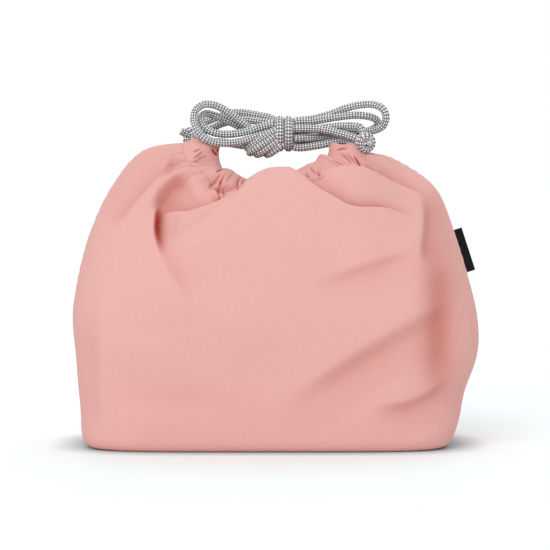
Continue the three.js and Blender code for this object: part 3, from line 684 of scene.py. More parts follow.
def bow_turns():
    """Stations of the two turns round the bundle: a circle about the X axis, a little taller than it is
    deep, that steps across by one cord at the back, with both ends drawn in to the middle."""
    t = np.linspace(-TURN_END, 2 + TURN_END, 500)
    angle = 2 * np.pi * t
    drawn = 1 - smoothstep(-TURN_END, TURN_END / 2, t) + smoothstep(2 - TURN_END / 2, 2 + TURN_END, t)
    radius = TURN_RADIUS - TURN_END_DRAWN * drawn
    across = TURN_SPACING * (smoothstep(0.82, 1.18, t) - 0.5)
    line = np.stack([across, radius * np.cos(angle), 1.04 * radius * np.sin(angle)], -1)
    return even_stations(line + BOW_MIDDLE, CORD_STEP)


def make_cords():
    """The bow's knot and the end knots, then every free stretch, each standing in for its CAD node."""
    strands = [braided_tube(bow_turns(), radius=TURN_CORD_RADIUS)]
    strands += [braided_tube(smooth_path(points, CORD_STEP)) for points in HALF_KNOT]
    bow_knot = joined("bow_knot_braid", strands)
    finished(bow_knot, cord_finish, "bow", ["bow_knot"])
    for name, facts in END_KNOTS.items():
        finished(make_end_knot(name, **facts), cord_finish, "bow", [name])
    for name in ROUTES:
        line = cord_stations(name)
        piece = joined(name + "_braid", [braided_tube(line)])
        finished(piece, cord_finish, None if "leg" in name else "bow", [name])
        if "leg" in name:
            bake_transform(piece)


make_cords()


# The bag's skin


def through(rows, t):
    """A smooth curve through rows of values, at t counted in rows: a cubic between each two rows,
    with the slope at each row taken from its neighbours."""
    last = len(rows) - 1
    index = np.clip(np.floor(t).astype(int), 0, last - 1)
    before, start, end, after = (rows[np.clip(index + i, 0, last)] for i in (-1, 0, 1, 2))
    return cubic(before, start, end, after, (t - index)[..., None])


def cubic(before, start, end, after, t):
    """The cubic from start to end whose slope at each is half the step between that one's neighbours."""
    leave, reach = (end - before) / 2, (after - start) / 2
    bend = 2 * (start - end) + leave + reach
    lean = 3 * (end - start) - 2 * leave - reach
    return ((bend * t + lean) * t + leave) * t + start


def skin(angle, level):
    """Points of the smooth skin. angle is an array and level one of the same shape: an outline whose
    x and y are the half widths times cosine and sine to the power 2 over square, at a height that
    runs smoothly round the twelve heights of its girth."""
    girth = through(GIRTHS, level)
    across, along = np.cos(angle), np.sin(angle)
    power = 2 / girth[..., 4]
    x = np.where(across > 0, girth[..., 1], girth[..., 0]) * np.sign(across) * np.abs(across) ** power
    y = np.where(along > 0, girth[..., 3], girth[..., 2]) * np.sign(along) * np.abs(along) ** power
    turn = (12 * angle / (2 * np.pi)) % 12
    side = np.floor(turn).astype(int) % 12
    heights = girth[..., OUTLINE:]
    near = [np.take_along_axis(heights, ((side + i) % 12)[..., None], -1)[..., 0] for i in (-1, 0, 1, 2)]
    z = cubic(*near, turn - np.floor(turn))
    return np.stack([x, y, z], -1)


def even_angles(levels, side, columns):
    """Angles round one half of each girth, from the right seam to the left, at even steps of length."""
    dense = side * np.pi * smooth_ends(np.linspace(0, 1, 1601))
    shape = (len(levels), len(dense))
    line = skin(np.broadcast_to(dense, shape), np.broadcast_to(levels[:, None], shape))
    steps = np.linalg.norm(np.diff(line, axis=1), axis=2)
    run = np.concatenate([np.zeros((len(levels), 1)), np.cumsum(steps, 1)], 1)
    share = np.linspace(0, 1, columns + 1)
    return np.stack([np.interp(share * r[-1], r, dense) for r in run])


def smooth_ends(t):
    """Crowd steps towards 0, a half and 1, where a boxy outline changes fast with its angle."""
    half = 2 * t % 1
    crowded = half**3 / (half**3 + (1 - half) ** 3)
    return np.where(t >= 1, 1, (np.floor(2 * t) + crowded) / 2)


def outward(grid):
    """Unit directions square to a grid of points, pointing away from the bag's middle."""
    down = np.gradient(grid, axis=0)
    across = np.gradient(grid, axis=1)
    normal = np.cross(across, down)
    normal /= np.maximum(np.linalg.norm(normal, axis=-1), 1e-9)[..., None]
    middle = grid.mean((0, 1)) * (1, 0, 1)
    away = np.einsum("...k,...k->...", normal, grid - middle)
    return normal if away.mean() > 0 else -normal


def panel_grid(side):
    """The smooth skin of one half, as a grid from the floor up and from the right seam to the left."""
    marks = np.concatenate([[0], np.cumsum(ROWS_PER_GIRTH)])
    levels = np.interp(np.arange(marks[-1] + 1), marks, np.arange(len(marks)))
    angles = even_angles(levels, side, PANEL_COLUMNS)
    grid = skin(angles, np.broadcast_to(levels[:, None], angles.shape))
    return grid, angles, levels


def seen(points):
    """Where points show from the front, as millimetres across and up on the plane through the middle
    of the view: the camera's own projection, so that a fold can be placed by where it is seen."""
    tilt = np.radians(VIEW_ELEVATION)
    away = VIEW_WIDTH * LENS / SENSOR
    x, y, z = np.moveaxis(points - VIEW_MIDDLE, -1, 0)
    scale = away / (away + y * np.cos(tilt) - z * np.sin(tilt))
    return VIEW_MIDDLE[0] + x * scale, VIEW_MIDDLE[2] + (z * np.cos(tilt) + y * np.sin(tilt)) * scale


def beside_line(u, v, points, reach):
    """For places (u, v): the signed distance from a smooth line through points, positive on the left
    of its way, and how far along it the nearest place is, from 0 to 1. Past reach both are given as
    far away."""
    line = smooth_path([(x, 0, z) for x, z in points], 1.2)[:, [0, 2]]
    way = np.diff(line, axis=0)
    length = np.linalg.norm(way, axis=1)
    low, high = line.min(0) - reach, line.max(0) + reach
    close = (u > low[0]) & (u < high[0]) & (v > low[1]) & (v < high[1])
    off = np.stack([u[close], v[close]], -1)[:, None] - line[None, :-1]
    along = np.clip((off * way).sum(-1) / length**2, 0, 1)
    gap = off - along[..., None] * way
    far = (gap**2).sum(-1)
    nearest = far.argmin(1)
    pick = np.arange(len(nearest))
    side = np.sign(way[nearest, 0] * gap[pick, nearest, 1] - way[nearest, 1] * gap[pick, nearest, 0])
    distance = np.full(u.shape, 1e3)
    share = np.zeros(u.shape)
    distance[close] = side * np.sqrt(far[pick, nearest])
    share[close] = (nearest + along[pick, nearest]) / len(way)
    return distance, share


# How far from its line a fold is worked out, as a multiple of the widest of its own lengths
FOLD_RANGE = 2.8


def fold(
    u, v, points, drop=0.0, edge=2.0, reach=12.0, crown=0.0, crown_width=4.0, ends=(0.25, 0.25),
    hollow=0.0, shade=4.0,
):
    """How far a fold lifts the cloth, and how much shade is painted on each place. Past the line the cloth
    falls by drop over edge and comes back over reach, and a crown stands along the line itself. The
    painted shade is strongest at the foot of the drop, or along the line where there is none, and fades
    over shade. All of it fades in and out along the line's two ends."""
    limit = FOLD_RANGE * max(reach if drop else 0, crown_width if crown else 0, shade)
    distance, share = beside_line(u, v, points, limit)
    past = np.maximum(distance, 0)
    foot = smoothstep(0, edge, past)
    beyond = np.maximum(past - edge, 0)
    lift = crown * np.exp(-(distance / crown_width) ** 2) - drop * foot * np.exp(-beyond / reach)
    onset = smoothstep(0, 0.5 * edge, past)
    depth = onset * np.exp(-beyond / shade) if drop else np.exp(-((distance / shade) ** 2))
    fade = smoothstep(0, ends[0], share) * smoothstep(0, ends[1], 1 - share)
    fade = fade * smoothstep(-1, -0.7, -np.abs(distance) / limit)
    return np.stack([lift * fade, hollow * depth * fade])


# Folds of the front, by where they are seen, in millimetres across and up, each with the shade that is
# painted into it
FRONT_FOLDS = [
    # The left shoulder's ridge, with the long hollow over it
    dict(
        points=[
            (-90.7, 111.5), (-83.2, 116.4), (-76.7, 121.8), (-70.4, 128.8), (-65.0, 134.2),
            (-59.6, 140.4), (-52.4, 145.0), (-45.4, 148.0), (-40.5, 148.8),
        ],
        drop=1.9, edge=7, reach=11, crown=2.4, crown_width=5.5, ends=(0.3, 0.15), hollow=0.16, shade=9,
    ),
    # The same ridge's fall to the pocket beside the belly
    dict(
        points=[
            (-44.3, 149.3), (-50.8, 146.1), (-57.8, 141.2), (-62.4, 135.8), (-65.1, 129.9),
            (-65.9, 123.9),
        ],
        drop=4.4, edge=6, reach=9, ends=(0.3, 0.3), hollow=0.34, shade=7,
    ),
    # That pocket's own edge, curled over a deep slit that is painted dark as shade
    dict(
        points=[
            (-61.6, 131.0), (-63.3, 125.6), (-64.2, 119.6), (-64.2, 113.7), (-63.2, 108.3),
            (-61.6, 103.4), (-59.4, 98.6),
        ],
        drop=6.0, edge=3.2, reach=5.5, crown=1.4, crown_width=4, ends=(0.28, 0.62), hollow=1.0, shade=1.7,
    ),
    # The slit's soft end
    dict(
        points=[(-63.7, 111.0), (-61.0, 101.3), (-56.2, 91.5), (-49.7, 81.8), (-42.1, 73.2)],
        drop=1.3, edge=5, reach=7, ends=(0.3, 0.5), hollow=0.14, shade=5,
    ),
    # A soft hollow from the ear down into that shoulder
    dict(
        points=[(-54.0, 158.5), (-57.3, 153.1), (-60.0, 146.6), (-62.1, 141.8)],
        drop=1.5, edge=4, reach=5, ends=(0.3, 0.4), hollow=0.16, shade=5,
    ),
    # The ledge along the belly's top, left
    dict(
        points=[
            (-63.2, 121.8), (-60.5, 123.4), (-56.2, 124.2), (-48.6, 124.4), (-38.9, 126.4),
            (-30.8, 129.1), (-22.7, 133.4), (-16.2, 137.7), (-13.0, 142.3),
        ],
        drop=3.6, edge=2.2, reach=8, crown=1.4, crown_width=4.5, ends=(0.12, 0.2), hollow=0.26, shade=4,
    ),
    # The ledge between the belly and the right shoulder
    dict(
        points=[
            (6.5, 150.9), (11.4, 147.3), (16.4, 143.6), (20.9, 140.4), (25.9, 137.2),
            (34.6, 132.4), (40.0, 129.2), (47.3, 127.2), (55.1, 127.0), (62.6, 126.4),
            (71.3, 123.9), (79.9, 119.6),
        ],
        drop=4.6, edge=1.5, reach=9, crown=1.1, crown_width=4.5, ends=(0.05, 0.3), hollow=0.5, shade=3,
    ),
    # The upper edge of the right shoulder's fold
    dict(
        points=[
            (27.0, 149.6), (32.9, 150.2), (39.4, 150.4), (45.3, 149.4), (50.7, 147.8),
            (56.7, 145.6), (63.7, 142.5), (71.3, 138.8), (79.9, 134.7), (87.5, 130.4),
        ],
        drop=4.6, edge=1.5, reach=8, crown=1.5, crown_width=5, ends=(0.12, 0.3), hollow=0.6, shade=3,
    ),
    # The turn from the front to the right side
    dict(
        points=[(76.7, 137.4), (79.4, 128.8), (79.6, 116.4), (78.5, 104.5), (79.9, 92.1)],
        drop=2.6, edge=7, reach=12, crown=1.0, crown_width=6, ends=(0.3, 0.35), hollow=0.34, shade=9,
    ),
    # Its long hollow down the right side, with shade painted into it
    dict(
        points=[
            (85.8, 114.2), (89.6, 98.0), (90.7, 81.8), (91.2, 65.6), (90.7, 49.4),
            (89.1, 32.1), (86.9, 18.1),
        ],
        crown=-1.8, crown_width=8, ends=(0.3, 0.3), hollow=0.5, shade=9,
    ),
    # Long soft hollows across the belly, down to the right
    dict(
        points=[
            (78.8, 109.9), (69.1, 105.0), (57.2, 101.5), (43.2, 96.4), (29.1, 91.5),
            (15.1, 86.7),
        ],
        drop=1.8, edge=7, reach=9, ends=(0.3, 0.5), hollow=0.17, shade=7,
    ),
    dict(
        points=[
            (101.5, 82.9), (85.3, 74.3), (66.9, 64.5), (48.6, 53.7), (30.2, 41.9),
            (12.9, 30.0), (-2.2, 21.3),
        ],
        drop=2.7, edge=11, reach=12, crown=0.7, crown_width=8, ends=(0.3, 0.4), hollow=0.22, shade=12,
    ),
    dict(
        points=[(96.1, 40.8), (87.5, 32.1), (76.7, 26.2), (64.8, 23.0), (50.7, 21.3)],
        drop=2.2, edge=7, reach=9, crown=0.5, crown_width=6, ends=(0.35, 0.4), hollow=0.27, shade=8,
    ),
    dict(
        points=[(-97.2, 60.2), (-84.3, 54.3), (-68.1, 51.0), (-50.2, 50.0)],
        drop=0.9, edge=8, reach=12, ends=(0.3, 0.5),
    ),
    dict(
        points=[(-95.1, 21.9), (-70.2, 17.0), (-40.0, 15.9), (-8.1, 18.1)],
        drop=0.8, edge=8, reach=12, ends=(0.3, 0.5), hollow=0.06, shade=10,
    ),
    # The turn from the front to the left side
    dict(
        points=[(-91.3, 4.1), (-90.2, 23.5), (-91.3, 45.1), (-91.3, 66.7), (-88.6, 85.6)],
        drop=1.1, edge=8, reach=9, crown=0.7, crown_width=6, ends=(0.2, 0.5), hollow=0.07, shade=8,
    ),
]
# Folds of the back, seen from behind: the same kind of shoulders and slack, with a little shade painted
# into each
BACK_FOLDS = [
    dict(
        points=[(-84, 112), (-72, 120), (-61, 129), (-50, 138), (-42, 146)],
        drop=3.4, edge=4, reach=9, crown=0.9, crown_width=6, ends=(0.3, 0.2), hollow=0.16,
    ),
    dict(
        points=[(-46, 128), (-32, 132), (-18, 138), (-8, 143), (4, 144)],
        drop=2.2, edge=3, reach=7, crown=0.8, crown_width=5, ends=(0.3, 0.3), hollow=0.16,
    ),
    dict(
        points=[(16, 144), (27, 138), (38, 133), (50, 130), (64, 127), (80, 119)],
        drop=3.6, edge=3, reach=9, crown=0.8, crown_width=5, ends=(0.2, 0.3), hollow=0.16,
    ),
    dict(
        points=[(-66, 80), (-62, 92), (-63, 104), (-60, 114), (-54, 121)],
        drop=3.4, edge=3, reach=8, crown=0.5, crown_width=4, ends=(0.5, 0.25), hollow=0.16,
    ),
    dict(
        points=[(88, 96), (70, 88), (50, 80), (30, 66), (12, 56)],
        drop=1.6, edge=6, reach=11, ends=(0.3, 0.4), hollow=0.16,
    ),
    dict(
        points=[(-90, 52), (-70, 46), (-50, 36), (-30, 30)],
        drop=1.2, edge=6, reach=10, ends=(0.3, 0.4), hollow=0.16,
    ),
    dict(points=[(92, 40), (76, 32), (58, 26)], drop=1.1, edge=5, reach=9, ends=(0.35, 0.4), hollow=0.16),
]

# Where the top of the belly's fold shows on the front, and how far it may move the cloth
CREST = [
    (-66, 139.5), (-62, 137), (-55, 127), (-50, 124.5), (-38.9, 127.4), (-30.8, 130.1), (-20, 135.5),
    (-13.5, 143.6), (-6, 148), (0, 149.3), (8, 148.8), (12, 147), (18, 144.2), (24, 144.8), (31, 148.6),
    (39.4, 149.6), (49, 148.5), (58, 145.3), (64, 143.5),
]
CREST_LEVEL = STITCH - 1
CREST_LIMIT = 9.0

# Gathers at the stitching: their spacing, depth and how far down the cloth they reach
GATHER_SPACING = 6.4
GATHER_DEPTH = 0.9
GATHER_REACH = 13.0
# How high the slack cloth waves, how deep and how wide the side seams draw it in, and how high and how
# far apart the puckers beside them are
SLACK_HEIGHT = 0.35
SEAM_DRAW = 0.9
SEAM_DRAW_WIDTH = 1.3
PUCKER_HEIGHT = 0.22
PUCKER_SPACING = 5.5
PUCKER_REACH = 5.0


def wander(position, seed, waves=4):
    """A smooth wavering value with a spread of about 1, from a few sines whose phases are drawn."""
    draw = np.random.default_rng(seed)
    total = np.zeros_like(position)
    for k in range(waves):
        total += np.sin(position * (1 + 0.83 * k) + draw.uniform(0, 2 * np.pi)) / np.sqrt(waves / 2)
    return total


def gathers(run, seed):
    """Pleats along a run of cloth in millimetres: round-topped ridges with sharp valleys, a folded
    sine, at a spacing and depth that waver from one to the next."""
    phase = np.pi * run / GATHER_SPACING + 1.1 * wander(run / 16, seed)
    return (np.abs(np.sin(phase)) - 0.6) * (0.8 + 0.35 * wander(run / 11, seed + 1))


# Creases of the gathered cloth, in the front hem and just under it, by where they are seen: the width
# and depth of each, how strongly shade is painted into it, and its line
GATHER_CREASES = [
    (0.50, 1.3, 1.10, [(-30.6, 146.7), (-28.9, 147.4), (-27.2, 148.3), (-25.6, 148.8)]),
    (0.45, 1.5, 1.00, [(-34.2, 138.2), (-31.9, 140.0), (-29.7, 142.5), (-28.1, 145.0), (-26.8, 147.3)]),
    (
        0.48, 1.6, 1.10,
        [(-32.1, 129.1), (-30.0, 132.8), (-28.2, 137.7), (-27.2, 141.5), (-25.6, 144.8), (-22.5, 146.4)],
    ),
    (0.38, 1.2, 0.80, [(-29.4, 128.8), (-27.3, 132.6), (-26.0, 136.9), (-25.3, 139.4)]),
    (0.40, 1.2, 0.60, [(-24.8, 140.4), (-23.1, 143.3), (-21.5, 145.4), (-19.6, 146.3)]),
    (0.36, 1.0, 0.60, [(-33.0, 132.0), (-31.0, 133.9), (-29.4, 135.8)]),
    (0.48, 1.6, 1.15, [(-17.2, 135.2), (-18.3, 137.8), (-18.6, 140.1), (-17.8, 142.8), (-15.2, 144.4)]),
    (0.40, 1.2, 1.10, [(-15.9, 139.9), (-15.7, 141.4), (-15.2, 142.6)]),
    (0.40, 1.2, 0.90, [(-42.9, 157.2), (-40.8, 158.6), (-37.5, 159.6)]),
    (0.42, 1.2, 0.90, [(-43.0, 153.7), (-40.5, 155.5), (-38.0, 157.3), (-36.4, 158.5)]),
    (0.40, 0.9, 0.80, [(-42.9, 151.2), (-40.2, 153.2), (-37.4, 154.8), (-34.0, 155.6)]),
    (0.80, 1.2, 1.30, [(-32.6, 160.4), (-31.7, 158.5), (-30.2, 156.6), (-29.0, 155.0)]),
    (0.50, 1.0, 1.10, [(-29.5, 160.6), (-28.9, 158.5), (-28.7, 155.8)]),
    (0.70, 2.2, 1.25, [(24.3, 148.1), (24.9, 146.0), (26.2, 143.5), (27.8, 141.2), (29.5, 139.1)]),
    (0.42, 1.3, 0.90, [(17.6, 145.9), (19.4, 144.5), (21.6, 143.7)]),
    (0.38, 1.0, 0.80, [(28.9, 143.2), (29.6, 140.8)]),
    (0.38, 1.1, 0.70, [(20.3, 149.9), (21.9, 147.5), (23.7, 145.0)]),
    (0.50, 1.4, 1.00, [(33.8, 157.7), (36.5, 159.4), (38.9, 159.7), (41.6, 158.9)]),
    (0.42, 1.3, 0.90, [(35.4, 156.7), (38.6, 155.7), (41.3, 153.6), (43.5, 150.2)]),
    (0.50, 1.5, 1.10, [(43.5, 156.4), (45.2, 154.1), (46.9, 151.5), (48.3, 148.6)]),
    (0.38, 1.1, 0.80, [(40.0, 157.5), (42.6, 154.5), (45.6, 151.2)]),
    (0.36, 1.0, 0.70, [(32.6, 153.4), (35.6, 151.8), (39.4, 150.2)]),
]
# Beside each crease the cloth rolls down into it: how deep against the crease, and how wide. A crease
# fades in and out over the same share of its length, the shade painted along it is a little narrower
# than it, and on the wall's coarser mesh it is no narrower than the last value.
VALLEY_DEPTH = 0.4
VALLEY_WIDTH = 1.7
CREASE_ENDS = (0.4, 0.4)
CREASE_SHADE = 0.8
LEAST_WALL_CREASE = 1.1


def creases_at(points, least_width=0.0):
    """How far the creases press points of the front in, and how much shade is painted on each point: each
    is a narrow trough and a wide shallow one on the same line, and the shade is painted along the second."""
    u, v = seen(points)
    pressed = 0
    for width, depth, shade_strength, line in GATHER_CREASES:
        pressed = pressed + fold(
            u, v, line, crown=-depth, crown_width=max(width, least_width), ends=CREASE_ENDS,
        )
        pressed = pressed + fold(
            u, v, line, crown=-VALLEY_DEPTH * depth, crown_width=VALLEY_WIDTH, ends=CREASE_ENDS,
            hollow=shade_strength, shade=CREASE_SHADE * width,
        )
    return pressed


def crest_lift(grid, angles, levels):
    """How far up each point of the front moves so that the belly's top lies along its crest line:
    the miss at the crest's own level, fading out over the levels round it."""
    row = np.argmin(np.abs(levels - CREST_LEVEL))
    u, v = seen(grid[row])
    line = smooth_path([(x, 0, z) for x, z in CREST], 0.5)
    order = np.argsort(line[:, 0])
    wanted = np.interp(u, line[order, 0], line[order, 2])
    left, right = CREST[0][0], CREST[-1][0]
    inside = smoothstep(left - 6, left + 4, u) * smoothstep(-right - 10, -right + 2, -u)
    from_seam = np.minimum(np.abs(angles[row]), np.pi - np.abs(angles[row]))
    miss = np.clip((wanted - v) * inside, -CREST_LIMIT, CREST_LIMIT) * smoothstep(0.12, 0.5, from_seam)
    weight = smoothstep(CREST_LEVEL - 1.3, CREST_LEVEL, levels)
    weight = weight * smoothstep(-STITCH, -STITCH + 0.9, -levels)
    return miss[None] * weight[:, None]


# What a panel leaves for the pieces that meet it: its stitched edge, and the lines of its side seams
STITCHED_EDGE = {}
SEAM_LINES = {}


def make_panel(name, side, node, folds, seed):
    """One half of the wall. The smooth skin is moved along its own normal by the folds, the gathers
    under the stitching, a low slackness all over and the draw of the side seams. Shade is painted into
    the folds, the creases and the gathers' valleys."""
    grid, angles, levels = panel_grid(side)
    grid[..., 1] = side * np.maximum(side * grid[..., 1], SEAM_HALF_GAP)
    if side < 0:
        grid[..., 2] += crest_lift(grid, angles, levels)
    normal = outward(grid)
    turned = grid if side < 0 else grid * (-1, -1, 1)
    u, v = seen(turned)
    facing = smoothstep(0.05, 0.4, side * normal[..., 1])
    lift, hollow = sum(fold(u, v, **facts) for facts in folds) * facing
    if side < 0:
        upper = smoothstep(STITCH - 1.2, STITCH - 0.7, levels)[:, None]
        pressed, painted_crease_shade = creases_at(grid, LEAST_WALL_CREASE) * upper
        lift, hollow = lift + pressed, hollow + painted_crease_shade
    run = np.cumsum(np.linalg.norm(np.diff(grid, axis=1, prepend=grid[:, :1]), axis=2), 1)
    rise = np.cumsum(np.linalg.norm(np.diff(grid, axis=0, prepend=grid[:1]), axis=2), 0)
    drawn = np.exp(-((rise[-1:] - rise) / GATHER_REACH) ** 1.5)
    pleats = gathers(run[-1:], seed)
    lift = lift + GATHER_DEPTH * pleats * drawn
    # Shade painted into the gathers' valleys
    hollow = hollow + 0.5 * np.clip(-pleats - 0.2, 0, 1) * drawn
    x, z = grid[..., 0], grid[..., 2]
    slack = wander(x / 26 + z / 41, seed + 5) * wander(z / 30 - x / 60, seed + 6)
    lift = lift + SLACK_HEIGHT * slack * smoothstep(0, 20, z)
    to_seam = np.minimum(run, run[:, -1:] - run)
    pucker = PUCKER_HEIGHT * np.sin(2 * np.pi * rise / PUCKER_SPACING + 1.2 * wander(rise / 13, seed + 8))
    lift = lift * smoothstep(0, 9, to_seam) - SEAM_DRAW * np.exp(-(to_seam / SEAM_DRAW_WIDTH) ** 2)
    lift = lift + pucker * np.exp(-(to_seam / PUCKER_REACH) ** 2)
    grid = grid + lift[..., None] * normal
    grid[..., 1] = side * np.maximum(side * grid[..., 1], SEAM_HALF_GAP)
    grid[..., 2] = np.maximum(grid[..., 2], 0)
    STITCHED_EDGE[side] = side * angles[-1], grid[-1]
    if side < 0:
        above = slice(np.argmax(grid[:, 0, 2] > 2 * WALL), -3)
        SEAM_LINES.update({place: grid[above, place] for place in (0, -1)})
    inner = (grid - WALL * outward(grid))[::2, ::2]
    inner[..., 1] = side * np.maximum(side * inner[..., 1], SEAM_HALF_GAP)
    inner[..., 2] = np.maximum(inner[..., 2], 0)
    uv = np.stack([run - run[:, -1:] / 2, rise], -1)
    piece = wall(name, grid, inner, uv, np.clip(hollow, 0, 1))
    return finished(piece, cloth, "bag", [node])


make_panel("front_panel_cloth", -1, "front_panel", FRONT_FOLDS, 11)
make_panel("back_panel_cloth", 1, "back_panel", BACK_FOLDS, 23)


def make_seam_allowance(name, line, outward_x):
    """The cloth turned in along a side seam: a narrow strip behind the gap between front and back. Its
    outer face follows the seam's line, drawn in by the wall's thickness and a hair more."""
    way = np.gradient(line, axis=0)
    out = outward_x * np.stack([way[:, 2], 0 * way[:, 0], -way[:, 0]], -1)
    out /= np.linalg.norm(out, axis=1)[:, None]
    across = np.linspace(-ALLOWANCE_WIDTH / 2, ALLOWANCE_WIDTH / 2, 7)
    middle = line - (WALL + ALLOWANCE_CLEARANCE) * out
    outer = middle[:, None] * (1, 0, 1) + across[:, None] * (0, 1, 0)
    uv = np.stack(np.broadcast_arrays(across[None, :], run_along(line)[:, None]), -1)
    piece = wall(name, outer, outer - ALLOWANCE_PLY * out[:, None], uv)
    return finished(piece, cloth, "bag")


for seam, place, outward_x in (("right", 0, 1), ("left", -1, -1)):
    make_seam_allowance(seam + "_seam_allowance", SEAM_LINES[place], outward_x)


def make_base(name, node):
    """The bottom: a plate with the outline of the lowest girth, rows from front to back, each as long
    as the outline is wide there. The first and the last row stop a hair short of the outline, where it
    would have no length."""
    left, right, _, back, power = GIRTHS[0, :5]
    inset = WALL + BASE_GAP
    share = np.sin(np.linspace(-0.5, 0.5, 61) * np.pi) * 0.9995
    width = (1 - np.abs(share) ** power) ** (1 / power)
    across = np.linspace(-1, 1, 121)
    x = np.where(across > 0, right - inset, left - inset) * across * width[:, None]
    y = np.broadcast_to((back - inset) * share[:, None], x.shape)
    top = np.stack([x, y, np.full(x.shape, WALL)], -1)
    piece = wall(name, top, top - (0, 0, WALL), np.stack([x, y], -1))
    return finished(piece, cloth, "bag", [node])


make_base("base_cloth", "base_panel")


# Hem


def hem_frame(angle):
    """The hem's frame at angles: its middle, the way from the mouth to the stitching, the way up
    through its plies, and half its width."""
    level = lambda value: np.full(angle.shape, float(value))
    mouth, stitch = skin(angle, level(MOUTH)), skin(angle, level(STITCH))
    step = 0.02
    between = (MOUTH + STITCH) / 2
    across = skin(angle + step, level(between)) - skin(angle - step, level(between))
    along = skin(angle, level(between + step)) - skin(angle, level(between - step))
    up = np.cross(across, along)
    up /= np.linalg.norm(up, axis=-1)[..., None]
    way = stitch - mouth
    width = np.linalg.norm(way, axis=-1)
    middle = (mouth + stitch) / 2 - up * WALL / 2
    return middle, way / width[..., None], up, width / 2


EXIT_ANGLE = float(np.arcsin(EXIT_HALF_WIDTH / abs(hem_frame(np.array([-np.pi / 2]))[0][0, 1])))
# The hem's mesh: its rings, the points round each, and how far these crowd on to its upper ply
HEM_COLUMNS = 561
HEM_AROUND = 140
CROWDING = 0.42
# Where the hem's two ends are cut slantwise: how close they come to the side seams beside the
# stitching, and between which two places across the hem they draw back
SEAM_ANGLE = 0.002
NOTCH = (-0.35, 0.3)
# How deep the hem's gathers and its edge's ruffle are, how much thinner it gets towards the stitching,
# how far it runs on under the stitched edge of the wall, and how far that lowers it
HEM_GATHER = 0.8
RUFFLE = 0.8
HEM_THINNING = 0.62
HEM_UNDER = 1.2
UNDER_DROP = 0.45
# How far the creases may press the upper ply in at the mouth, and how much further at the stitching
CREASE_LIMIT = 0.8
CREASE_LIMIT_RISE = 1.6
# The cords' tunnel keeps this much off the plies
TUNNEL_CLEARANCE = 0.1
# The stitching: how far round the hem's section it lies, its pitch, and a stitch's length and width
STITCH_ROW = 0.5
STITCH_PITCH = 3.0
STITCH_LENGTH = 2.1
THREAD_WIDTH = 0.55

# The ears that the hem's corners stand up in, beside the exits: the angle and width in degrees, and how
# far right and up in millimetres, of each pull on the hem's edge at the mouth
EARS = [
    (202, 6, 0, 1.6), (218, 8, 0, -5.0), (212, 9, -3.0, 0), (148, 12, -3.6, 0),
    (337, 5, 0, 2.2), (328, 5, 0, -2.0), (348, 9, 0, 1.6),
]


def ear_pull(angle, across):
    """How far the ears move the hem at an angle, most at the mouth (across -1), not at all at the
    stitching (across 1). Each ear is a bell curve round its own angle."""
    degrees = np.degrees(angle) % 360
    pull = 0
    for place, width, right, up in EARS:
        pull = pull + np.exp(-(((degrees - place) / width) ** 2))[..., None] * (right, 0, up)
    return pull * (1 - smoothstep(-0.2, 0.9, across))[..., None]


def tube_wall(name, outer, inner, uv, hollow):
    """A closed wall between an outer and an inner tube, joined by a flat ring at each end. The inner
    tube has half as many rings, of half as many points. The last argument says how much shade is
    painted on each outer point, most in a crease, and the inner tube has an even painted shade."""
    first = np.arange(outer[..., 0].size).reshape(outer.shape[:2])
    second = first.size + np.arange(inner[..., 0].size).reshape(inner.shape[:2])
    quads = []
    for grid, turned in ((first, False), (second, True)):
        after = np.roll(grid, -1, axis=1)
        cell = np.stack([grid[:-1], after[:-1], after[1:], grid[1:]], -1).reshape(-1, 4)
        quads.append(cell[:, ::-1] if turned else cell)
    triangles = []
    for row, turned in ((0, True), (-1, False)):
        start, middle, end = first[row, ::2], first[row, 1::2], np.roll(first[row, ::2], -1)
        near, far = second[row], np.roll(second[row], -1)
        for strip in ((near, start, middle), (near, middle, end), (near, end, far)):
            strip = np.stack(strip, -1)
            triangles.append(strip if turned else strip[:, ::-1])
    quads, triangles = np.concatenate(quads), np.concatenate(triangles)
    points = np.concatenate([outer.reshape(-1, 3), inner.reshape(-1, 3)])
    point_uv = np.concatenate([uv.reshape(-1, 2), uv[::2, ::2].reshape(-1, 2)])
    corners = np.concatenate([quads.ravel(), triangles.ravel()])
    # The inside of the tunnel gets an even painted shade
    depth = np.concatenate([hollow.ravel(), np.full(second.size, 0.4)])
    return faced_out(build(name, points, quads, triangles, uv=point_uv[corners], hollow=depth))


def make_stitches(name, line, up):
    """A row of stitches along a line that lies on the cloth: each a short rod with rounded ends, half
    sunk in, at an even pitch. A rod is six rings of six points and a point at each end."""
    run = run_along(line)
    at = np.arange(STITCH_PITCH, run[-1] - STITCH_PITCH / 2, STITCH_PITCH)
    ring = np.array([-1, -0.93, -0.72, 0.72, 0.93, 1])
    bulge = np.array([0.3, 0.75, 1, 1, 0.75, 0.3])
    place = at[:, None] + ring * STITCH_LENGTH / 2
    middle = np.stack([np.interp(place, run, line[:, k]) for k in range(3)], -1)
    square = np.stack([np.interp(place, run, up[:, k]) for k in range(3)], -1)
    way = (middle[:, -1] - middle[:, 0])[:, None]
    way = way / np.linalg.norm(way, axis=-1)[..., None]
    beside = np.cross(way, square)
    turn = 2 * np.pi * np.arange(6)[:, None] / 6
    round_way = np.cos(turn) * beside[:, :, None] + np.sin(turn) * square[:, :, None]
    points = middle[:, :, None] + bulge[:, None, None] * THREAD_WIDTH / 2 * round_way
    count = len(at)
    grid = np.arange(count * 36).reshape(count, 6, 6)
    after = np.roll(grid, -1, axis=2)
    quads = np.stack([grid[:, :-1], grid[:, 1:], after[:, 1:], after[:, :-1]], -1).reshape(-1, 4)
    start, end = count * 36 + np.arange(2 * count).reshape(2, count)
    caps = [
        np.stack([np.broadcast_to(pole[:, None], (count, 6)), first, second], -1).reshape(-1, 3)
        for pole, first, second in ((start, grid[:, 0], after[:, 0]), (end, after[:, -1], grid[:, -1]))
    ]
    everything = np.concatenate([points.reshape(-1, 3), middle[:, 0], middle[:, -1]])
    piece = faced_out(build(name, everything, quads, np.concatenate(caps)))
    return finished(piece, thread_finish, "bag")


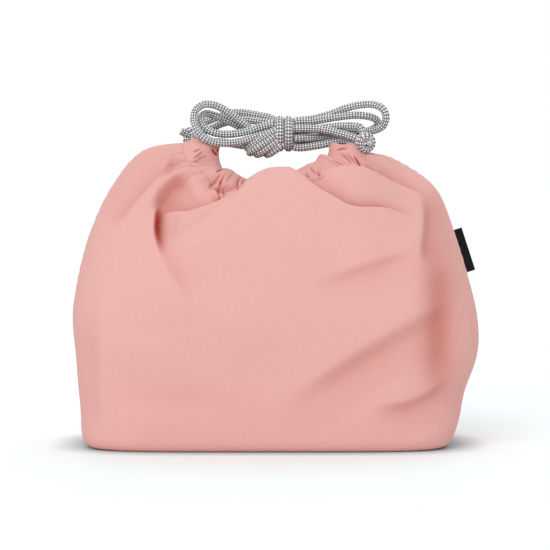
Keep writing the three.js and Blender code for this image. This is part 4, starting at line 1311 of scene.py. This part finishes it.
def make_hem(name, side, node, seed):
    """One half of the hem: a flattened tube along the mouth. Its section is half a superellipse over
    the cords at the mouth's edge and thins out towards the stitching, and its upper ply is lifted
    by gathers and pressed in along the creases. Beside the stitching it runs on to the side seams and
    follows the wall's stitched edge, and beside the mouth it stops short of them, which leaves the
    notches that the cords come out of."""
    turn = 2 * np.pi * np.arange(HEM_AROUND) / HEM_AROUND
    turn = turn + CROWDING * np.cos(turn)
    across, over = np.cos(turn)[None, :], np.sin(turn)[None, :]
    short = EXIT_ANGLE + (SEAM_ANGLE - EXIT_ANGLE) * smoothstep(*NOTCH, across)
    share = np.linspace(0, 1, HEM_COLUMNS)[:, None]
    angle = side * (short + (np.pi - 2 * short) * share)
    middle, way, up, half_width = hem_frame(angle)
    half_width = (half_width + HEM_OVERLAP)[..., None]
    even = np.linspace(SEAM_ANGLE, np.pi - SEAM_ANGLE, 400)
    run = np.interp(np.abs(angle), even, run_along(hem_frame(side * even)[0]))
    body = 1 - HEM_THINNING * smoothstep(0.1, 1.0, across)
    pleat = gathers(run, seed) * (0.5 + 0.5 * smoothstep(-0.6, 0.9, across))
    top = TUNNEL_HALF_HEIGHT + HEM_PLY + HEM_GATHER * pleat
    ruffle = RUFFLE * wander(run / 4.2, seed + 3) * smoothstep(-0.2, -1.0, across)
    rise = np.where(over > 0, top, TUNNEL_HALF_HEIGHT + HEM_PLY) * body
    spread = np.sign(across) * np.abs(across) ** 0.8
    under = HEM_UNDER * smoothstep(0.55, 1, across)
    outer = middle + (half_width * spread[..., None] + (under - 0.4 * ruffle)[..., None]) * way
    outer = outer + (rise * over + 0.5 * ruffle - UNDER_DROP * under)[..., None] * up
    # Shade painted into the gathers' valleys on the upper ply, and along the stitched edge
    hollow = 0.5 * np.clip(-pleat - 0.15, 0, 1) * smoothstep(0, 0.4, over)
    hollow = hollow + 0.2 * smoothstep(0.85, 1, across)
    edge_angles, edge = STITCHED_EDGE[side]
    wanted = np.stack([np.interp(side * angle, edge_angles, edge[:, k]) for k in range(3)], -1)
    miss = wanted - skin(angle, np.full(angle.shape, float(STITCH)))
    moved = ear_pull(angle, across) + miss * smoothstep(0.3, 1, across)[..., None]
    outer = outer + moved
    if side < 0:
        # The creases press the upper ply in and paint shade along them
        pressed, painted_crease_shade = creases_at(outer) * smoothstep(0, 0.4, over)
        most = CREASE_LIMIT + CREASE_LIMIT_RISE * smoothstep(0.3, 0.7, across)
        pressed = most * np.tanh(pressed / most)
        outer = outer + pressed[..., None] * up
        hollow = hollow + painted_crease_shade
    inside = middle + (half_width - HEM_PLY) * across[..., None] * way
    inside = inside + ((TUNNEL_HALF_HEIGHT - TUNNEL_CLEARANCE) * body * over)[..., None] * up
    inside = (inside + moved)[::2, ::2]
    uv = np.stack(np.broadcast_arrays(run - run.mean(), half_width.mean() * across), -1)
    piece = tube_wall(name, outer, inside, uv, np.clip(hollow, 0, 1))
    finished(piece, hem_cloth, "bag", [node])
    row = np.argmin(np.abs(turn - STITCH_ROW))
    make_stitches(name.replace("cloth", "stitches"), outer[:, row], up[:, 0])


make_hem("front_hem_cloth", -1, "front_hem", 31)
make_hem("back_hem_cloth", 1, "back_hem", 37)


# Cords in the hem: how far apart they lie, how far the mouth's one dips under the other's ends, how
# far both sink from the upper ply between the exits, how much nearer the mouth's middle than its edge
# the ears' pull is taken, and how much the tunnel squeezes the cords where the left ear drops steeply
CORD_PITCH = 4.7
CROSSING_DIP = 2.8
HELD_SINK = 0.5
HELD_SHIFT = 0.2
EAR_SQUEEZE = 0.6


def make_held_cord(name, own_exit, place):
    """The stretch of a cord inside the hem, from one side of its own exit round to the other. place
    is -1 for the cord beside the mouth's edge, which dips under the other one's ends."""
    start = EXIT_ANGLE + 0.004
    angle = own_exit + np.linspace(start, 2 * np.pi - start, 120)
    middle, way, up, half_width = hem_frame(angle)
    from_exit = np.minimum(angle - angle[0], angle[-1] - angle)
    middle = middle - HELD_SINK * smoothstep(0, 0.35, from_exit)[:, None] * up
    run = np.gradient(middle, axis=0)
    run /= np.linalg.norm(run, axis=1)[:, None]
    across = way - run * (run * way).sum(1)[:, None]
    line = middle + across / np.linalg.norm(across, axis=1)[:, None] * place * CORD_PITCH / 2
    line += ear_pull(angle, place * CORD_PITCH / 2 / half_width - HELD_SHIFT)
    near = 1 - np.abs(line[:, 1]) / (EXIT_HALF_WIDTH - CORD_DIAMETER / 2)
    other = (np.sign(line[:, 0]) != np.sign(np.cos(own_exit))) & (place < 0)
    line[:, 2] -= np.where(other, CROSSING_DIP * smoothstep(0, 0.9, near), 0)
    line = smooth_path(line, 2 * CORD_STEP)
    steepness = np.abs(np.gradient(line, axis=0)[:, 2]) / (2 * CORD_STEP)
    in_front = smoothstep(6, 9, -line[:, 1]) * (line[:, 0] < 0)
    squeezed = 1 - EAR_SQUEEZE * smoothstep(0.35, 0.8, steepness) * in_front
    radius = CORD_DIAMETER / 2 * squeezed[:, None]
    tube = braided_tube(line, radius=radius, start_round=False, end_round=False)
    return finished(joined(name + "_braid", [tube]), cord_finish, "bag", [name])


make_held_cord("left_cord_in_hem", np.pi, -1)
make_held_cord("right_cord_in_hem", 0.0, 1)


# Side tab


def make_tab():
    """The tab: a ribbon folded once, its section a hairpin with the fold outwards, carried up the
    tab's own slope. The fold is a half circle, both plies bow a little and their ends are in the seam."""
    low, high = (np.array(corner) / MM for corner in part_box("side_tab"))
    solid_reach = ((high - low)[0] - TAB_WIDTH * abs(TAB_UP[0])) / TAB_OUT[0]
    base = (low + high) / 2 - TAB_OUT * solid_reach / 2 - TAB_DROP * TAB_UP
    bend = (TAB_INSIDE + TAB_PLY) / 2
    straight = np.linspace(-TAB_IN_SEAM, TAB_REACH - bend - TAB_PLY / 2, 26)
    round_part = np.linspace(np.pi / 2, -np.pi / 2, 17)[1:-1]
    reach = np.concatenate([straight, straight[-1] + bend * np.cos(round_part), straight[::-1]])
    aside = np.concatenate([np.full(26, bend), bend * np.sin(round_part), np.full(26, -bend)])
    hairpin = np.stack([reach, aside], -1)
    along = np.gradient(hairpin, axis=0)
    along /= np.linalg.norm(along, axis=1)[:, None]
    square = np.stack([-along[:, 1], along[:, 0]], -1)
    height = np.linspace(-TAB_WIDTH / 2, TAB_WIDTH / 2, 47)

    def sheet_at(offset):
        section = hairpin + offset * square
        bow = TAB_BOW * np.sin(np.pi * section[:, 0] / TAB_REACH) * np.cos(np.pi * height / 30)[:, None]
        x, y = np.broadcast_to(section[:, 0], bow.shape), section[:, 1] + bow
        return base + x[..., None] * TAB_OUT + y[..., None] * (0, 1, 0) + height[:, None, None] * TAB_UP

    uv = np.stack(np.broadcast_arrays(run_along(hairpin)[None, :], height[:, None]), -1)
    piece = wall("side_tab_ribbon", sheet_at(TAB_PLY / 2), sheet_at(-TAB_PLY / 2), uv)
    return finished(piece, ribbon_finish, "tab", ["side_tab"])


make_tab()


# Stage and light


# The floor's linear colours: to the camera in the open and right beside the pouch, where a contact shadow
# is painted in, and to the light.
# Then how near counts as beside, in metres, the openness there, its gloss, and half its length.
FLOOR_TO_CAMERA = (0.98, 1.05, 1.06, 1)
FLOOR_AT_CONTACT = (0.51, 0.62, 0.63, 1)
FLOOR_TO_LIGHT = (0.85, 0.85, 0.85, 1)
CONTACT_REACH = 0.02
CONTACT_OPENNESS = 0.45
FLOOR_GLOSS = 0.03
FLOOR_ROUGHNESS = 0.12
FLOOR_SIZE = 6000
# The surround's strength as a light
WORLD_LIGHT = 0.7


def make_stage():
    """A pale glossy floor that keeps the pouch's shadow. To the camera it is a little over white, so
    that it runs into the white surround, and a touch cool, against the pink that the cloth throws.
    Close under the pouch, where little of the sky reaches it, a contact shadow is painted in darker and
    cooler."""
    material = bpy.data.materials.new("white_acrylic_floor")
    material.use_nodes = True
    tree = material.node_tree
    tree.nodes.clear()
    path = add(tree, "ShaderNodeLightPath")
    nearness = add(tree, "ShaderNodeAmbientOcclusion", {"Distance": CONTACT_REACH}, samples=16)
    near = {"Value": nearness.outputs["AO"], "From Min": CONTACT_OPENNESS, "From Max": 1.0}
    openness = add(tree, "ShaderNodeMapRange", near)
    seen_colours = {0: openness.outputs[0], 6: FLOOR_AT_CONTACT, 7: FLOOR_TO_CAMERA}
    shown = add(tree, "ShaderNodeMix", seen_colours, data_type="RGBA")
    colours = {0: path.outputs["Is Camera Ray"], 6: FLOOR_TO_LIGHT, 7: shown.outputs[2]}
    pale = add(tree, "ShaderNodeMix", colours, data_type="RGBA")
    diffuse = add(tree, "ShaderNodeBsdfDiffuse", {"Color": pale.outputs[2]})
    gloss = add(tree, "ShaderNodeBsdfGlossy", {"Color": (1, 1, 1, 1), "Roughness": FLOOR_ROUGHNESS})
    both = add(tree, "ShaderNodeMixShader", {0: FLOOR_GLOSS, 1: diffuse.outputs[0], 2: gloss.outputs[0]})
    add(tree, "ShaderNodeOutputMaterial", {"Surface": both.outputs[0]})
    corners = [(FLOOR_SIZE * x, FLOOR_SIZE * y, 0) for x, y in ((-1, -1), (1, -1), (1, 1), (-1, 1))]
    floor = build("floor", corners, [(0, 1, 2, 3)])
    floor.data.materials.append(material)


def make_world():
    """Soft white light from all round, and plain white where the camera, a reflection or a ray through
    something looks past the pouch."""
    world = bpy.data.worlds.new("white_surround")
    world.use_nodes = True
    tree = world.node_tree
    tree.nodes.clear()
    path = add(tree, "ShaderNodeLightPath")
    straight = path.outputs["Is Camera Ray"]
    for other in ("Is Glossy Ray", "Is Transmission Ray"):
        pair = {0: straight, 1: path.outputs[other]}
        straight = add(tree, "ShaderNodeMath", pair, operation="MAXIMUM").outputs[0]
    strength = add(tree, "ShaderNodeMapRange", {"Value": straight, "To Min": WORLD_LIGHT, "To Max": 1.0})
    background = add(tree, "ShaderNodeBackground", {"Color": (1, 1, 1, 1), "Strength": strength.outputs[0]})
    add(tree, "ShaderNodeOutputWorld", {"Surface": background.outputs[0]})
    bpy.context.scene.world = world


def make_sun(name, place, strength, softness):
    """A far soft light from a direction, with the angle of its disc in degrees."""
    data = bpy.data.lights.new(name, "SUN")
    data.energy = strength
    data.angle = np.radians(softness)
    lamp = bpy.data.objects.new(name, data)
    bpy.context.scene.collection.objects.link(lamp)
    lamp.rotation_euler = Vector(place).to_track_quat("Z", "Y").to_euler()


make_stage()
make_world()
make_sun("key", (-0.31, -1.0, 0.75), 1.1, 40)
make_sun("from_behind", (0.1, 0.8, 0.75), 0.55, 50)

bpy.context.scene.view_settings.view_transform = "Standard"
